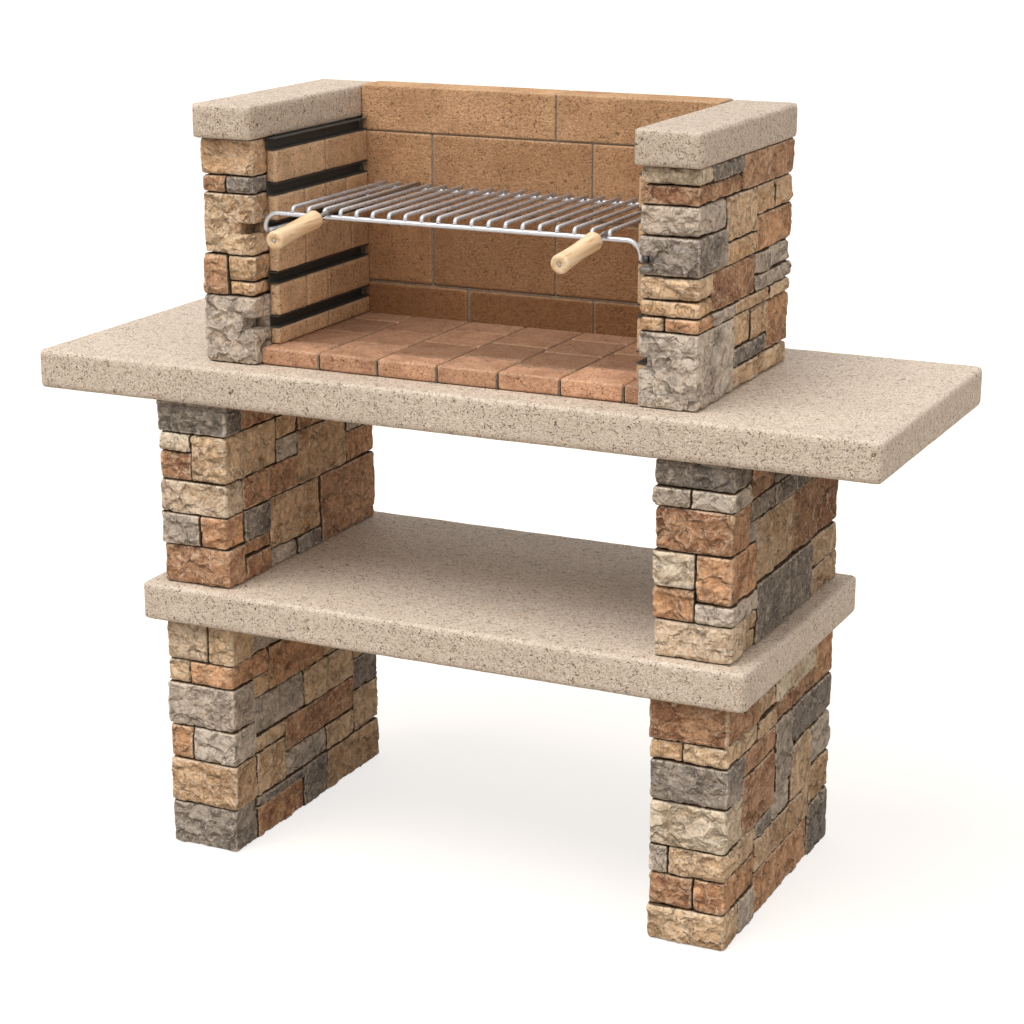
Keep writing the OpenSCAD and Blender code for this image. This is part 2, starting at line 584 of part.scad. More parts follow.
// Back wall plates from the worktop up: height of each row's upper edge above the
// hearth, and the places of its upright joints from the middle
back_wall_h = cap_z + cap_t - hearth_z;
BACK_ROWS = [
    [0.14, [-130, 116]],
    [0.47, [-202, 42]],
    [0.803, [-200, 111]],
    [1, [41]],
];
function row_low(i) = i == 0 ? worktop_z : hearth_z + BACK_ROWS[i - 1][0] * back_wall_h + back_joint / 2;
function row_high(i) =
    i == len(BACK_ROWS) - 1
        ? hearth_z + back_wall_h
        : hearth_z + BACK_ROWS[i][0] * back_wall_h - back_joint / 2;
module back_plates(grow) {
    for (i = [0:len(BACK_ROWS) - 1]) {
        joints = BACK_ROWS[i][1];
        for (k = [0:len(joints)]) {
            from = (k == 0 ? -cap_inner_x : joints[k - 1]) + back_joint / 2;
            to = (k == len(joints) ? cap_inner_x : joints[k]) - back_joint / 2;
            translate([from, back_wall_y - grow, row_low(i)])
                cube([to - from, back_wall_t + 2 * grow, row_high(i) - row_low(i)]);
        }
    }
}
module back_wall_plates() {
    color("goldenrod") back_plates(0);
}
module back_wall_mortar() {
    color("silver")
        difference() {
            union() {
                translate([-cap_inner_x, back_wall_y + joint_recess, worktop_z])
                    cube([2 * cap_inner_x, back_wall_t - 2 * joint_recess,
                        back_wall_h + hearth_t - joint_recess]);
                translate([-wall_inner_x, back_wall_y + joint_recess, worktop_z])
                    cube([hearth_w, back_wall_t - 2 * joint_recess, wall_h]);
            }
            back_plates(1);
        }
}

// Round wire between two points
module wire(from, to, r) {
    d = to - from;
    turn = (d[0] == 0 && d[1] == 0) ? 0 : atan2(d[1], d[0]);
    translate(from)
        rotate([0, acos(d[2] / norm(d)), turn])
            cylinder(h = norm(d), r = r);
}
// Quarter bend of wire in the XY plane, from +X round to +Y
module quarter_bend(bend_r, r) {
    rotate_extrude(angle = 90)
        translate([bend_r, 0]) circle(r);
}
// The front rail's ends curve down in a wide arc and turn back into the runners
module grill_front_rail() {
    drop = rail_z - runner_z - foot_r;
    straight = runner_x - drop;
    color("gainsboro") {
        wire([-straight, rail_y, rail_z], [straight, rail_y, rail_z], frame_r);
        for (side = [0, 1])
            mirror([side, 0, 0]) {
                translate([straight, rail_y, rail_z - drop]) rotate([90, 0, 0]) quarter_bend(drop, frame_r);
                translate([runner_x, rail_y + foot_r, runner_z + foot_r])
                    rotate([90, 0, 90]) rotate([0, 0, 180]) quarter_bend(foot_r, frame_r);
            }
    }
}
// The rear rail's ends drop inside the liner, then step out through the grooves to the runners
module grill_rear_rail() {
    leg_x = liner_x - leg_gap - frame_r;
    color("gainsboro") {
        wire([leg_bend_r - leg_x, rear_rail_y, rear_rail_z],
            [leg_x - leg_bend_r, rear_rail_y, rear_rail_z], frame_r);
        for (side = [0, 1])
            mirror([side, 0, 0]) {
                translate([leg_x - leg_bend_r, rear_rail_y, rear_rail_z - leg_bend_r])
                    rotate([90, 0, 0]) quarter_bend(leg_bend_r, frame_r);
                wire([leg_x, rear_rail_y, runner_z + leg_bend_r],
                    [leg_x, rear_rail_y, rear_rail_z - leg_bend_r], frame_r);
                translate([leg_x + leg_bend_r, rear_rail_y, runner_z + leg_bend_r])
                    rotate([90, 0, 0]) rotate([0, 0, 180]) quarter_bend(leg_bend_r, frame_r);
                wire([leg_x + leg_bend_r, rear_rail_y, runner_z],
                    [runner_x - foot_r, rear_rail_y, runner_z], frame_r);
                translate([runner_x - foot_r, rear_rail_y - foot_r, runner_z]) quarter_bend(foot_r, frame_r);
            }
    }
}
module runner(side) {
    color("gainsboro")
        wire([side * runner_x, rail_y + foot_r, runner_z],
            [side * runner_x, rear_rail_y - foot_r, runner_z], frame_r);
}

// Bars over the rails, each turned down at the front onto the front rail
function bar_x(i) = (i - (bar_count - 1) / 2) * bar_pitch;
module grill_bars() {
    color("gainsboro")
        for (i = [0:bar_count - 1])
            translate([bar_x(i), 0, 0]) {
                wire([0, rail_y + bar_bend_r, bar_z], [0, rear_rail_y + bar_overhang, bar_z], bar_r);
                translate([0, rail_y + bar_bend_r, bar_z - bar_bend_r])
                    rotate([90, 0, 90]) rotate([0, 0, 90]) quarter_bend(bar_bend_r, bar_r);
                wire([0, rail_y, rail_z + frame_r], [0, rail_y, bar_z - bar_bend_r], bar_r);
            }
}

// Handle rods lie beside a bar on both rails and bend down towards their grips at a small knuckle
rod_rear_slope = atan((rear_rail_z - rail_z) / (rear_rail_y - rail_y));
knuckle_r = rod_r + 0.4;
function rod_z(y) = rail_z + frame_r + rod_r + (y - rail_y) * tan(rod_rear_slope);
function handle_x(side) =
    side < 0 ? bar_x(left_handle_bar - 1) + rod_offset : bar_x(right_handle_bar - 1) - rod_offset;
module on_handle_axis(side) {
    translate([handle_x(side), rod_bend_y, rod_z(rod_bend_y)])
        rotate([90 + handle_slope, 0, 0])
            children();
}
module handle_rod_piece(side) {
    rear_end = rear_rail_y + bar_overhang;
    color("gainsboro")
        union() {
            wire([handle_x(side), rod_bend_y, rod_z(rod_bend_y)],
                [handle_x(side), rear_end, rod_z(rear_end)], rod_r);
            translate([handle_x(side), rod_bend_y, rod_z(rod_bend_y)]) sphere(r = knuckle_r);
            on_handle_axis(side)
                cylinder(h = grip_axis_l - grip_l + grip_bore_l - grip_bore_clearance, r = rod_r);
        }
}

// Turned grip: rounded ends and a slight waist, bored for the rod and for its end pin
grip_waist = 1.6;
waist_steps = 10;
grip_profile = concat(
    [[0, 0]],
    [for (a = [-90:30:0])
        [grip_dia / 2 - grip_round + grip_round * cos(a), grip_round + grip_round * sin(a)]],
    [for (i = [1:waist_steps - 1])
        [grip_dia / 2 - grip_waist * sin(180 * i / waist_steps),
            grip_round + (grip_l - 2 * grip_round) * i / waist_steps]],
    [for (a = [0:30:90])
        [grip_dia / 2 - grip_round + grip_round * cos(a), grip_l - grip_round + grip_round * sin(a)]],
    [[0, grip_l]]
);
module grip(side) {
    color("wheat")
        on_handle_axis(side)
            translate([0, 0, grip_axis_l - grip_l])
                difference() {
                    rotate_extrude() polygon(grip_profile);
                    translate([0, 0, -1]) cylinder(h = grip_bore_l + 1, r = rod_r + grip_bore_clearance);
                    translate([0, 0, grip_l - pin_l])
                        cylinder(h = pin_l + 1, r = pin_r + grip_bore_clearance);
                }
}
module grip_pins() {
    color("silver")
        for (side = [-1, 1])
            on_handle_axis(side)
                translate([0, 0, grip_axis_l - pin_l]) {
                    cylinder(h = pin_l, r = pin_r);
                    translate([0, 0, pin_l]) cylinder(h = pin_head_t, r1 = pin_head_r, r2 = pin_r);
                }
}

module in_frame() {
    translate([0, -origin_y, 0]) children();
}
in_frame() worktop_slab();
in_frame() shelf_slab();
in_frame() pier_core(LOWER_LEFT);  // lower_left_core
in_frame() pier_core(LOWER_RIGHT);  // lower_right_core
in_frame() pier_core(MIDDLE_LEFT);  // middle_left_core
in_frame() pier_core(MIDDLE_RIGHT);  // middle_right_core
in_frame() pier_core(UPPER_LEFT);  // upper_left_core
in_frame() pier_core(UPPER_RIGHT);  // upper_right_core
for (kind = [LIMESTONE, SANDSTONE, IRONSTONE, GREYSTONE, SLATE]) {
    in_frame() pier_stones(LOWER_LEFT, kind);
    in_frame() pier_stones(LOWER_RIGHT, kind);
    in_frame() pier_stones(MIDDLE_LEFT, kind);
    in_frame() pier_stones(MIDDLE_RIGHT, kind);
    in_frame() pier_stones(UPPER_LEFT, kind);
    in_frame() pier_stones(UPPER_RIGHT, kind);
}
in_frame() cap(-1);  // left_cap
in_frame() cap(1);  // right_cap
in_frame() hearth_bricks();
in_frame() hearth_bed();
in_frame() liner(-1);  // left_liner
in_frame() liner(1);  // right_liner
in_frame() channels(-1);  // left_channels
in_frame() channels(1);  // right_channels
in_frame() back_wall_plates();
in_frame() back_wall_mortar();
in_frame() grill_front_rail();
in_frame() grill_rear_rail();
in_frame() runner(-1);  // grill_left_runner
in_frame() runner(1);  // grill_right_runner
in_frame() grill_bars();
in_frame() handle_rod_piece(-1);  // left_handle_rod
in_frame() handle_rod_piece(1);  // right_handle_rod
in_frame() grip(-1);  // left_grip
in_frame() grip(1);  // right_grip
in_frame() grip_pins();
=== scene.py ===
"""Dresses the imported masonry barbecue: split stone, washed concrete, firebrick, wire and wooden grips.

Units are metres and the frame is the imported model's: X across, Y to the back, Z up.
"""
import math
import random

import bpy
import numpy as np
from bpy.props import FloatProperty, FloatVectorProperty, IntProperty, StringProperty
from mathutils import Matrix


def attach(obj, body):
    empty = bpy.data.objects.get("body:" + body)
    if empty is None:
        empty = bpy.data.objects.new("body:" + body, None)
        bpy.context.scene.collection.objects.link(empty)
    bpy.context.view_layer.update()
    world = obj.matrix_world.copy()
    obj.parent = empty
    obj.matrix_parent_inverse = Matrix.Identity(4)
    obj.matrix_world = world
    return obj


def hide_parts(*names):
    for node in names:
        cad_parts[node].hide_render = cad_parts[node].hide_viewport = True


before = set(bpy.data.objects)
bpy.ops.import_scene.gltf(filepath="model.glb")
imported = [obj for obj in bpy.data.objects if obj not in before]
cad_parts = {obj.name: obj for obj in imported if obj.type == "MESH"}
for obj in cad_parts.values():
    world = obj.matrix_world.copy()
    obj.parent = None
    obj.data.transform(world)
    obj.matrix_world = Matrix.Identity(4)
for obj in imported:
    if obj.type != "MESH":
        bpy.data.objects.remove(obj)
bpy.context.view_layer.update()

bl_info = {
    "name": "Masonry barbecue",
    "version": (1, 0, 0),
    "blender": (4, 5, 0),
    "location": "3D View > Sidebar > Barbecue",
    "description": "Dresses a masonry barbecue with stone, concrete, brick, wire and wood",
    "category": "Object",
}

PIERS = ("lower_left", "lower_right", "middle_left", "middle_right", "upper_left", "upper_right")
KINDS = ("limestone", "sandstone", "ironstone", "greystone", "slate")

# Colours of each kind of stone
KIND_TINTS = {
    "limestone": ("CDB69D", "D6C4AB", "C2AA90", "C9B8A1"),
    "sandstone": ("C7A581", "BD9975", "CFAF8B", "C39D75"),
    "ironstone": ("B78B68", "A67E60", "C0936F", "AE8668"),
    "greystone": ("B5A18D", "C0AE9B", "AA9683", "B9A693"),
    "slate": ("8F7E6D", "7E6E5F", "9C8A78", "867666"),
}
# How much of its colour each kind keeps in its ground
KIND_DEPTHS = {"limestone": 0.95, "sandstone": 0.92, "ironstone": 1.0, "greystone": 0.75, "slate": 0.6}
# How light the stones of each tier are against their kind, at the front and at the outer right
# side: painted light and shade, the side under the worktop painted darkest for the worktop's shade
FRONT_PAINTED_LIGHT = {"lower": 1.02, "middle": 0.98, "upper": 1.04}
SIDE_PAINTED_SHADE = {"lower": 0.84, "middle": 0.62, "upper": 0.95}
# How far a stone's lightness may lie from that of its wall
STONE_SPREAD = 0.08
# Fired clay, at its lightest and darkest, and how far the lightness of a piece may lie from its neighbours'
HEARTH_CLAY = ("BE9376", "96735A", 0.22)
# the plates' darkest is painted shade, low on the back wall
PLATE_CLAY = ("C49C77", "805838", 0.15)
SLIP_CLAY = ("BD9E7F", "99795A", 0.08)

# Each worked piece starts its own run of draws, and the colours have a run of their own
FACING_SEED, LINER_SEED, HEARTH_SEED, PLATE_SEED, PAINT_SEED = 100, 20, 7, 31, 50
# Copies of CAD nodes are loose triangles, welded where they lie this close
WELD = 0.00002
# Faces this close in depth belong to one outer face of a pier
SAME_FACE = 0.008
# Stones and plates whose tops agree this well stand in one course, and bricks this close in one row
COURSE_STEP, ROW_STEP = 0.004, 0.05
# A stone keeps this far inside its solid at joints, and stands this far past it at the opening
JOINT_GAP, OPENING_PROUD = 0.0001, 0.0002
# A stone this near the opening is notched, and its cut starts this far outside the stone
AT_OPENING, CUT_PAST = 0.005, 0.01
# The liner lies in the walls' shade, so the ground of its slips is lifted this much more
SLIP_LIFT = 1.3
# A stone's or brick's seed is a number up to this, and moves it that many jumps in its patterns
SEED_SPAN, PATTERN_JUMP = 10, (3.1, 5.3, 7.7)
# The grips slope down to the front, and their grain with them
GRIP_SLOPE = math.radians(-7)
WHITE = (1.0, 1.0, 1.0, 1.0)


def linear(code):
    """Linear colour with full alpha from an sRGB hex code."""
    channels = [int(code[i:i + 2], 16) / 255 for i in (0, 2, 4)]
    return tuple(c / 12.92 if c <= 0.04045 else ((c + 0.055) / 1.055) ** 2.4 for c in channels) + (1.0,)


def add(tree, kind, inputs=None, stops=None, **settings):
    """Adds a node with its settings, colour stops and inputs. An input takes a value, or the socket
    or node that feeds it. A stop takes a place and an sRGB code, a share of white or a colour."""
    made = tree.nodes.new(f"ShaderNode{kind}")
    for key, value in settings.items():
        setattr(made, key, value)
    for key, value in (inputs or {}).items():
        if isinstance(value, bpy.types.Node):
            value = next(socket for socket in value.outputs if socket.enabled)
        if isinstance(value, bpy.types.NodeSocket):
            tree.links.new(value, made.inputs[key])
        else:
            made.inputs[key].default_value = value
    if stops:
        ramp = made.color_ramp
        while len(ramp.elements) < len(stops):
            ramp.elements.new(0.5)
        for element, (place, colour) in zip(ramp.elements, stops):
            if isinstance(colour, str):
                colour = linear(colour)
            elif isinstance(colour, float):
                colour = (colour, colour, colour, 1.0)
            element.position = place
            element.color = colour
    return made


def new_material(name):
    """A material with an empty tree."""
    material = bpy.data.materials.new(name)
    material.use_nodes = True
    material.node_tree.nodes.clear()
    return material, material.node_tree


def shaded(tree, inputs):
    """Ends a tree in a shader with these inputs."""
    add(tree, "OutputMaterial", {"Surface": add(tree, "BsdfPrincipled", inputs)})


def own_pattern(tree):
    """Where a stone or brick lies in the patterns, so that no two are alike, and its own tint."""
    place = add(tree, "TexCoord").outputs["Object"]
    seed = add(tree, "Attribute", attribute_name="stone_seed").outputs["Fac"]
    jump = add(tree, "VectorMath", {0: PATTERN_JUMP, "Scale": seed}, operation="SCALE")
    spot = add(tree, "VectorMath", {0: place, 1: jump}, operation="ADD")
    return spot, add(tree, "Attribute", attribute_name="stone_tint")


def split_stone(name, second, third, ridge="EADCC8", ridge_share=0.8):
    """Split-faced building stone, broken by hammer and not dressed: a crumple of hollows with
    paler ridges between them, partly a painted highlight, flakes painted lighter or darker for their
    tilt, cloudy patches of a second colour, thin veins of a third, dark grit, painted shade in the
    hollows and joints, and arrises paler from knocks and a painted highlight. Broken stone is dull,
    almost without gloss."""
    material, tree = new_material(name)
    spot, tint = own_pattern(tree)
    # the break wanders by up to 12 mm, so that ridges curve
    sway = add(tree, "TexNoise", {"Vector": spot, "Scale": 30.0, "Detail": 3.0, "Roughness": 0.6})
    bent = add(tree, "VectorMath", {0: sway.outputs["Color"], 1: (0.034,) * 3, 2: spot},
               operation="MULTIPLY_ADD")
    # facets of 25 to 40 mm, wider than high, each with its own tilt, and flakes of 10 to 15 mm on them
    layered = add(tree, "VectorMath", {0: bent, 1: (1.0, 1.0, 1.3)}, operation="MULTIPLY")
    facets, flakes, lips = (
        add(tree, "TexVoronoi", {"Vector": layered, "Scale": scale, "Randomness": 1.0}, feature=feature)
        for scale, feature in ((28.0, "F1"), (72.0, "F1"), (28.0, "DISTANCE_TO_EDGE")))
    # each is hollow and meets its neighbours in a ridge; a facet's tilt fades over its last 8 mm
    fall = add(tree, "MapRange", {"Value": lips, "From Max": 0.22, "To Min": 0.1})
    slopes = []
    for cells in (facets, flakes):
        aside = add(tree, "VectorMath", {0: layered, 1: cells.outputs["Position"]}, operation="SUBTRACT")
        lean = add(tree, "VectorMath", {0: cells.outputs["Color"], 1: (0.5,) * 3}, operation="SUBTRACT")
        slopes.append(add(tree, "VectorMath", {0: aside, 1: lean}, operation="DOT_PRODUCT"))
    rise = add(tree, "Math", {0: slopes[0], 1: fall}, operation="MULTIPLY")
    for source, share in ((slopes[1], 0.45), (facets, 0.010), (flakes, 0.0035)):
        rise = add(tree, "Math", {0: source, 1: share, 2: rise}, operation="MULTIPLY_ADD")
    # patches about 50 mm across
    clouds = add(tree, "TexNoise", {"Vector": spot, "Scale": 15.0, "Detail": 5.0, "Roughness": 0.62,
                                    "Distortion": 0.7})
    patches = add(tree, "ValToRGB", {"Fac": clouds}, [(0.44, 0.0), (0.62, 0.6)])
    # veins a few millimetres wide and a hand apart
    warp = add(tree, "TexNoise", {"Vector": spot, "Scale": 12.0, "Detail": 7.0, "Roughness": 0.68,
                                  "Distortion": 1.2})
    veins = add(tree, "ValToRGB", {"Fac": warp}, [(0.475, 0.0), (0.50, 0.4), (0.525, 0.0)])
    # painted light and shade: each flake a shade lighter or darker, as light would fall on its tilt
    shade_of = add(tree, "SeparateColor", {"Color": flakes.outputs["Color"]})
    shade = add(tree, "ValToRGB", {"Fac": shade_of}, [(0.0, 0.70), (0.4, 0.92), (1.0, 1.0)])
    # light and dark, 10 to 20 mm across
    mottle = add(tree, "TexNoise", {"Vector": spot, "Scale": 80.0, "Detail": 6.0, "Roughness": 0.72})
    tone = add(tree, "ValToRGB", {"Fac": mottle}, [(0.32, 0.58), (0.48, 0.95), (0.66, 1.0)])
    # grit drawn at 3 to 4 mm, coarser than real, so that it shows
    grit = add(tree, "TexNoise", {"Vector": spot, "Scale": 300.0, "Detail": 3.0, "Roughness": 0.75})
    dots = add(tree, "ValToRGB", {"Fac": grit}, [(0.36, 0.5), (0.46, 1.0)])
    # thin pale crests along the ridges of the break, here and there: partly paler stone, partly a
    # painted highlight where light catches the ridge
    crest = add(tree, "ValToRGB", {"Fac": lips}, [(0.015, ridge_share), (0.065, 0.0)])
    where = add(tree, "ValToRGB", {"Fac": mottle}, [(0.43, 0.0), (0.53, 1.0)])
    crests = add(tree, "Math", {0: crest, 1: where}, operation="MULTIPLY")
    fresh_and_highlit = add(tree, "Mix", {"Factor": 0.6, "A": tint, "B": linear(ridge)}, data_type="RGBA")
    # small pale flecks, 3 to 5 mm, where grains broke out
    bits = add(tree, "TexNoise", {"Vector": spot, "Scale": 210.0, "Detail": 2.0, "Roughness": 0.6,
                                  "Distortion": 1.0})
    flecks = add(tree, "ValToRGB", {"Fac": bits}, [(0.60, 0.0), (0.67, ridge_share * 0.8)])
    # painted shade: hollows in the mesh darker. Arrises paler over 2 to 5 mm, here and there, partly
    # worn by knocks and partly a painted highlight
    bend = add(tree, "NewGeometry").outputs["Pointiness"]
    hollow = add(tree, "ValToRGB", {"Fac": bend}, [(0.40, 0.6), (0.485, 1.0)])
    rim = add(tree, "Attribute", attribute_name="stone_rim").outputs["Fac"]
    worn_rim = add(tree, "Math", {0: mottle, 1: -1.2, 2: rim}, operation="MULTIPLY_ADD")
    raised = add(tree, "Math", {0: worn_rim, 1: 0.6}, operation="ADD")
    knocked_and_highlit = add(tree, "ValToRGB", {"Fac": raised}, [(0.24, 0.9), (0.46, 0.0)])
    # dark mortar dust and painted shade inside the joints and on the last 2 mm before them
    inside = add(tree, "Attribute", attribute_name="stone_joint").outputs["Fac"]
    dust_and_joint_shade = add(tree, "ValToRGB", {"Fac": inside}, [(0.05, 1.0), (0.17, 0.0)])
    skin = tint
    for blend, share, coat in (
            ("MIX", patches, linear(second)), ("MIX", veins, linear(third)), ("MULTIPLY", 0.55, shade),
            ("MULTIPLY", 0.8, tone), ("MULTIPLY", 0.6, dots), ("MIX", crests, fresh_and_highlit),
            ("MIX", flecks, fresh_and_highlit), ("MULTIPLY", 0.9, hollow), ("MIX", knocked_and_highlit, fresh_and_highlit),
            ("MIX", dust_and_joint_shade, linear("66523F"))):
        skin = add(tree, "Mix", {"Factor": share, "A": skin, "B": coat}, data_type="RGBA", blend_type=blend)
    broken = add(tree, "Bump", {"Height": rise, "Strength": 1.0, "Distance": 1.15})
    rough = add(tree, "Bump", {"Height": mottle, "Normal": broken, "Strength": 0.8, "Distance": 0.006})
    shaded(tree, {"Base Color": skin, "Roughness": 0.92, "Specular IOR Level": 0.22, "Normal": rough})
    return material


def washed_concrete():
    """Washed concrete: the cement skin is rinsed off before it sets, which bares sand and fine
    gravel of 2 to 4 mm in beige, brown and cream, with small shadowed pits between the grains."""
    material, tree = new_material("washed_concrete")
    place = add(tree, "TexCoord").outputs["Object"]
    # gravel grains, about 3 mm
    grains = add(tree, "TexVoronoi", {"Vector": place, "Scale": 300.0, "Randomness": 1.0}, feature="F1")
    pick = add(tree, "SeparateColor", {"Color": grains.outputs["Color"]})
    skin = add(tree, "ValToRGB", {"Fac": pick},
               [(0.0, "C3AE9B"), (0.08, "D2C0AD"), (0.25, "DDCCB8"), (0.60, "E2D2C2"), (0.85, "DAC8B4"),
                (0.95, "EDE2D7"), (1.0, "CFB9A3")])
    # curved dark marks, 3 to 8 mm long, between the grains
    sway = add(tree, "TexNoise", {"Vector": place, "Scale": 165.0, "Detail": 3.0, "Roughness": 0.5,
                                  "Distortion": 2.2})
    marks = add(tree, "ValToRGB", {"Fac": sway}, [(0.36, "8C6A52"), (0.40, 0.86), (0.49, 1.0)])
    # scattered open pits, painted dark for the shade in them, drawn at 3 to 6 mm, wider than
    # most real ones, so that they show
    holes = add(tree, "TexNoise", {"Vector": place, "Scale": 150.0, "Detail": 2.5, "Roughness": 0.6,
                                   "Distortion": 1.7})
    pits = add(tree, "ValToRGB", {"Fac": holes}, [(0.35, "4A3222"), (0.38, 1.0)])
    # faint clouds over a hand's width
    clouds = add(tree, "TexNoise", {"Vector": place, "Scale": 8.0, "Detail": 3.0, "Roughness": 0.55})
    tone = add(tree, "ValToRGB", {"Fac": clouds}, [(0.35, 0.94), (0.65, 1.0)])
    # painted shade: each slab has its own lightness, the caps drawn darker against the brighter
    # sheen their tops catch
    slab_painted_shade = add(tree, "Attribute", attribute_name="stone_tint")
    # the cast arris is smoother than the washed faces, and paler: a painted highlight along it
    bend = add(tree, "NewGeometry").outputs["Pointiness"]
    arris = add(tree, "ValToRGB", {"Fac": bend}, [(0.52, 0.0), (0.60, 0.6)])
    for blend, share, coat in (
            ("MULTIPLY", 0.9, marks), ("MULTIPLY", 0.9, pits), ("MULTIPLY", 1.0, tone),
            ("MULTIPLY", 1.0, slab_painted_shade), ("MIX", arris, linear("EDE3D4"))):
        skin = add(tree, "Mix", {"Factor": share, "A": skin, "B": coat}, data_type="RGBA", blend_type=blend)
    height = add(tree, "Math", {0: holes, 1: 0.5, 2: sway}, operation="MULTIPLY_ADD")
    bump = add(tree, "Bump", {"Height": height, "Strength": 0.6, "Distance": 0.005})
    shaded(tree, {"Base Color": skin, "Roughness": 0.65, "Specular IOR Level": 0.5, "Normal": bump})
    return material


def fired_clay(name, second, speck, mottle_scale, mottle_share, arris=0.3):
    """Fired clay, pressed and burnt: each brick has its own tint, with cloudy darker burning,
    small dark grog specks and pinholes. Unglazed, so it is matt."""
    material, tree = new_material(name)
    spot, skin = own_pattern(tree)
    clouds = add(tree, "TexNoise", {"Vector": spot, "Scale": mottle_scale, "Detail": 5.0, "Roughness": 0.65,
                                    "Distortion": 0.4})
    patches = add(tree, "ValToRGB", {"Fac": clouds}, [(0.42, 0.0), (0.66, mottle_share)])
    # sandy skin, light and dark, drawn at 4 mm, coarser than real sand, so that it shows
    sand = add(tree, "TexNoise", {"Vector": spot, "Scale": 230.0, "Detail": 3.0, "Roughness": 0.7,
                                  "Distortion": 0.8})
    sandy = add(tree, "ValToRGB", {"Fac": sand}, [(0.36, 0.62), (0.56, 1.0)])
    # pinholes and drag marks, drawn at 4 to 6 mm so that they show
    fine = add(tree, "TexNoise", {"Vector": spot, "Scale": 150.0, "Detail": 3.0, "Roughness": 0.6,
                                  "Distortion": 1.5})
    specks = add(tree, "ValToRGB", {"Fac": fine}, [(0.355, 0.8), (0.40, 0.0)])
    # hollows in the mesh are darker with mortar dust, soot and painted shade, and arrises paler,
    # rubbed and with a painted highlight
    bend = add(tree, "NewGeometry").outputs["Pointiness"]
    dirt_and_hollow_shade = add(tree, "ValToRGB", {"Fac": bend}, [(0.42, 0.6), (0.49, 0.0)])
    rubbed_and_highlit = add(tree, "ValToRGB", {"Fac": bend}, [(0.515, 0.0), (0.58, arris)])
    for blend, share, coat in (
            ("MIX", patches, linear(second)), ("MULTIPLY", 0.9, sandy), ("MIX", specks, linear(speck)),
            ("MIX", dirt_and_hollow_shade, linear("5A4436")), ("MIX", rubbed_and_highlit, linear("E6CCAE"))):
        skin = add(tree, "Mix", {"Factor": share, "A": skin, "B": coat}, data_type="RGBA", blend_type=blend)
    height = add(tree, "Math", {0: clouds, 1: 0.5, 2: fine}, operation="MULTIPLY_ADD")
    bump = add(tree, "Bump", {"Height": height, "Strength": 0.8, "Distance": 0.006})
    shaded(tree, {"Base Color": skin, "Roughness": 0.88, "Specular IOR Level": 0.25, "Normal": bump})
    return material


def mortar(name, pale, dark, grain_scale=180.0):
    """Sand and cement mortar, struck with a tongue and left rough: grainy, grey to tan and matt. Its
    grain is drawn at 5 to 8 mm, coarser than real sand, so that it shows."""
    material, tree = new_material(name)
    place = add(tree, "TexCoord").outputs["Object"]
    sand = add(tree, "TexNoise", {"Vector": place, "Scale": grain_scale, "Detail": 5.0, "Roughness": 0.7})
    colours = add(tree, "ValToRGB", {"Fac": sand}, [(0.35, dark), (0.62, pale)])
    bump = add(tree, "Bump", {"Height": sand, "Strength": 0.6, "Distance": 0.002})
    shaded(tree, {"Base Color": colours, "Roughness": 0.95, "Specular IOR Level": 0.15, "Normal": bump})
    return material


def metal(name, tone, roughness, smudge, scale=40.0, metallic=1.0):
    """Drawn steel wire or folded sheet: the roughness wanders a little, as handling and heat leave it,
    over about 25 mm on wire and rod."""
    material, tree = new_material(name)
    place = add(tree, "TexCoord").outputs["Object"]
    wander = add(tree, "TexNoise", {"Vector": place, "Scale": scale, "Detail": 3.0, "Roughness": 0.6})
    gloss = add(tree, "MapRange", {"Value": wander, "From Min": 0.3, "From Max": 0.7, "To Min": roughness,
                                   "To Max": roughness + smudge})
    dull = tuple(c * 0.92 for c in linear(tone)[:3]) + (1.0,)
    colours = add(tree, "ValToRGB", {"Fac": wander}, [(0.3, dull), (0.6, tone)])
    shaded(tree, {"Base Color": colours, "Roughness": gloss, "Metallic": metallic})
    return material


def turned_beech():
    """Beech, turned and oiled: pale straw wood with fine brown flecks along the grip and a
    faint broader figure. Satin from the oil."""
    material, tree = new_material("turned_beech")
    place = add(tree, "TexCoord").outputs["Object"]
    # flecks 4 mm across and 70 mm long, and a figure of 11 by 200 mm, along the grips' slope
    grains = []
    for scale, detail, roughness, distortion in (((260.0, 14.0, 260.0), 4.0, 0.6, 0.3),
                                                 ((95.0, 5.0, 95.0), 3.0, 0.5, 0.6)):
        along = add(tree, "Mapping", {"Vector": place, "Rotation": (GRIP_SLOPE, 0.0, 0.0), "Scale": scale})
        grains.append(add(tree, "TexNoise", {"Vector": along, "Scale": 1.0, "Detail": detail,
                                             "Roughness": roughness, "Distortion": distortion}))
    flecks, figure = grains
    wood = add(tree, "ValToRGB", {"Fac": figure}, [(0.30, "DEB688"), (0.50, "ECCCA4"), (0.70, "F4DDBC")])
    grain = add(tree, "ValToRGB", {"Fac": flecks}, [(0.34, "C89A68"), (0.46, 1.0)])
    timber = add(tree, "Mix", {"Factor": 0.55, "A": wood, "B": grain}, data_type="RGBA",
                 blend_type="MULTIPLY")
    bump = add(tree, "Bump", {"Height": flecks, "Strength": 0.15, "Distance": 0.0006})
    shaded(tree, {"Base Color": timber, "Roughness": 0.48, "Normal": bump})
    return material


MATERIALS = {}


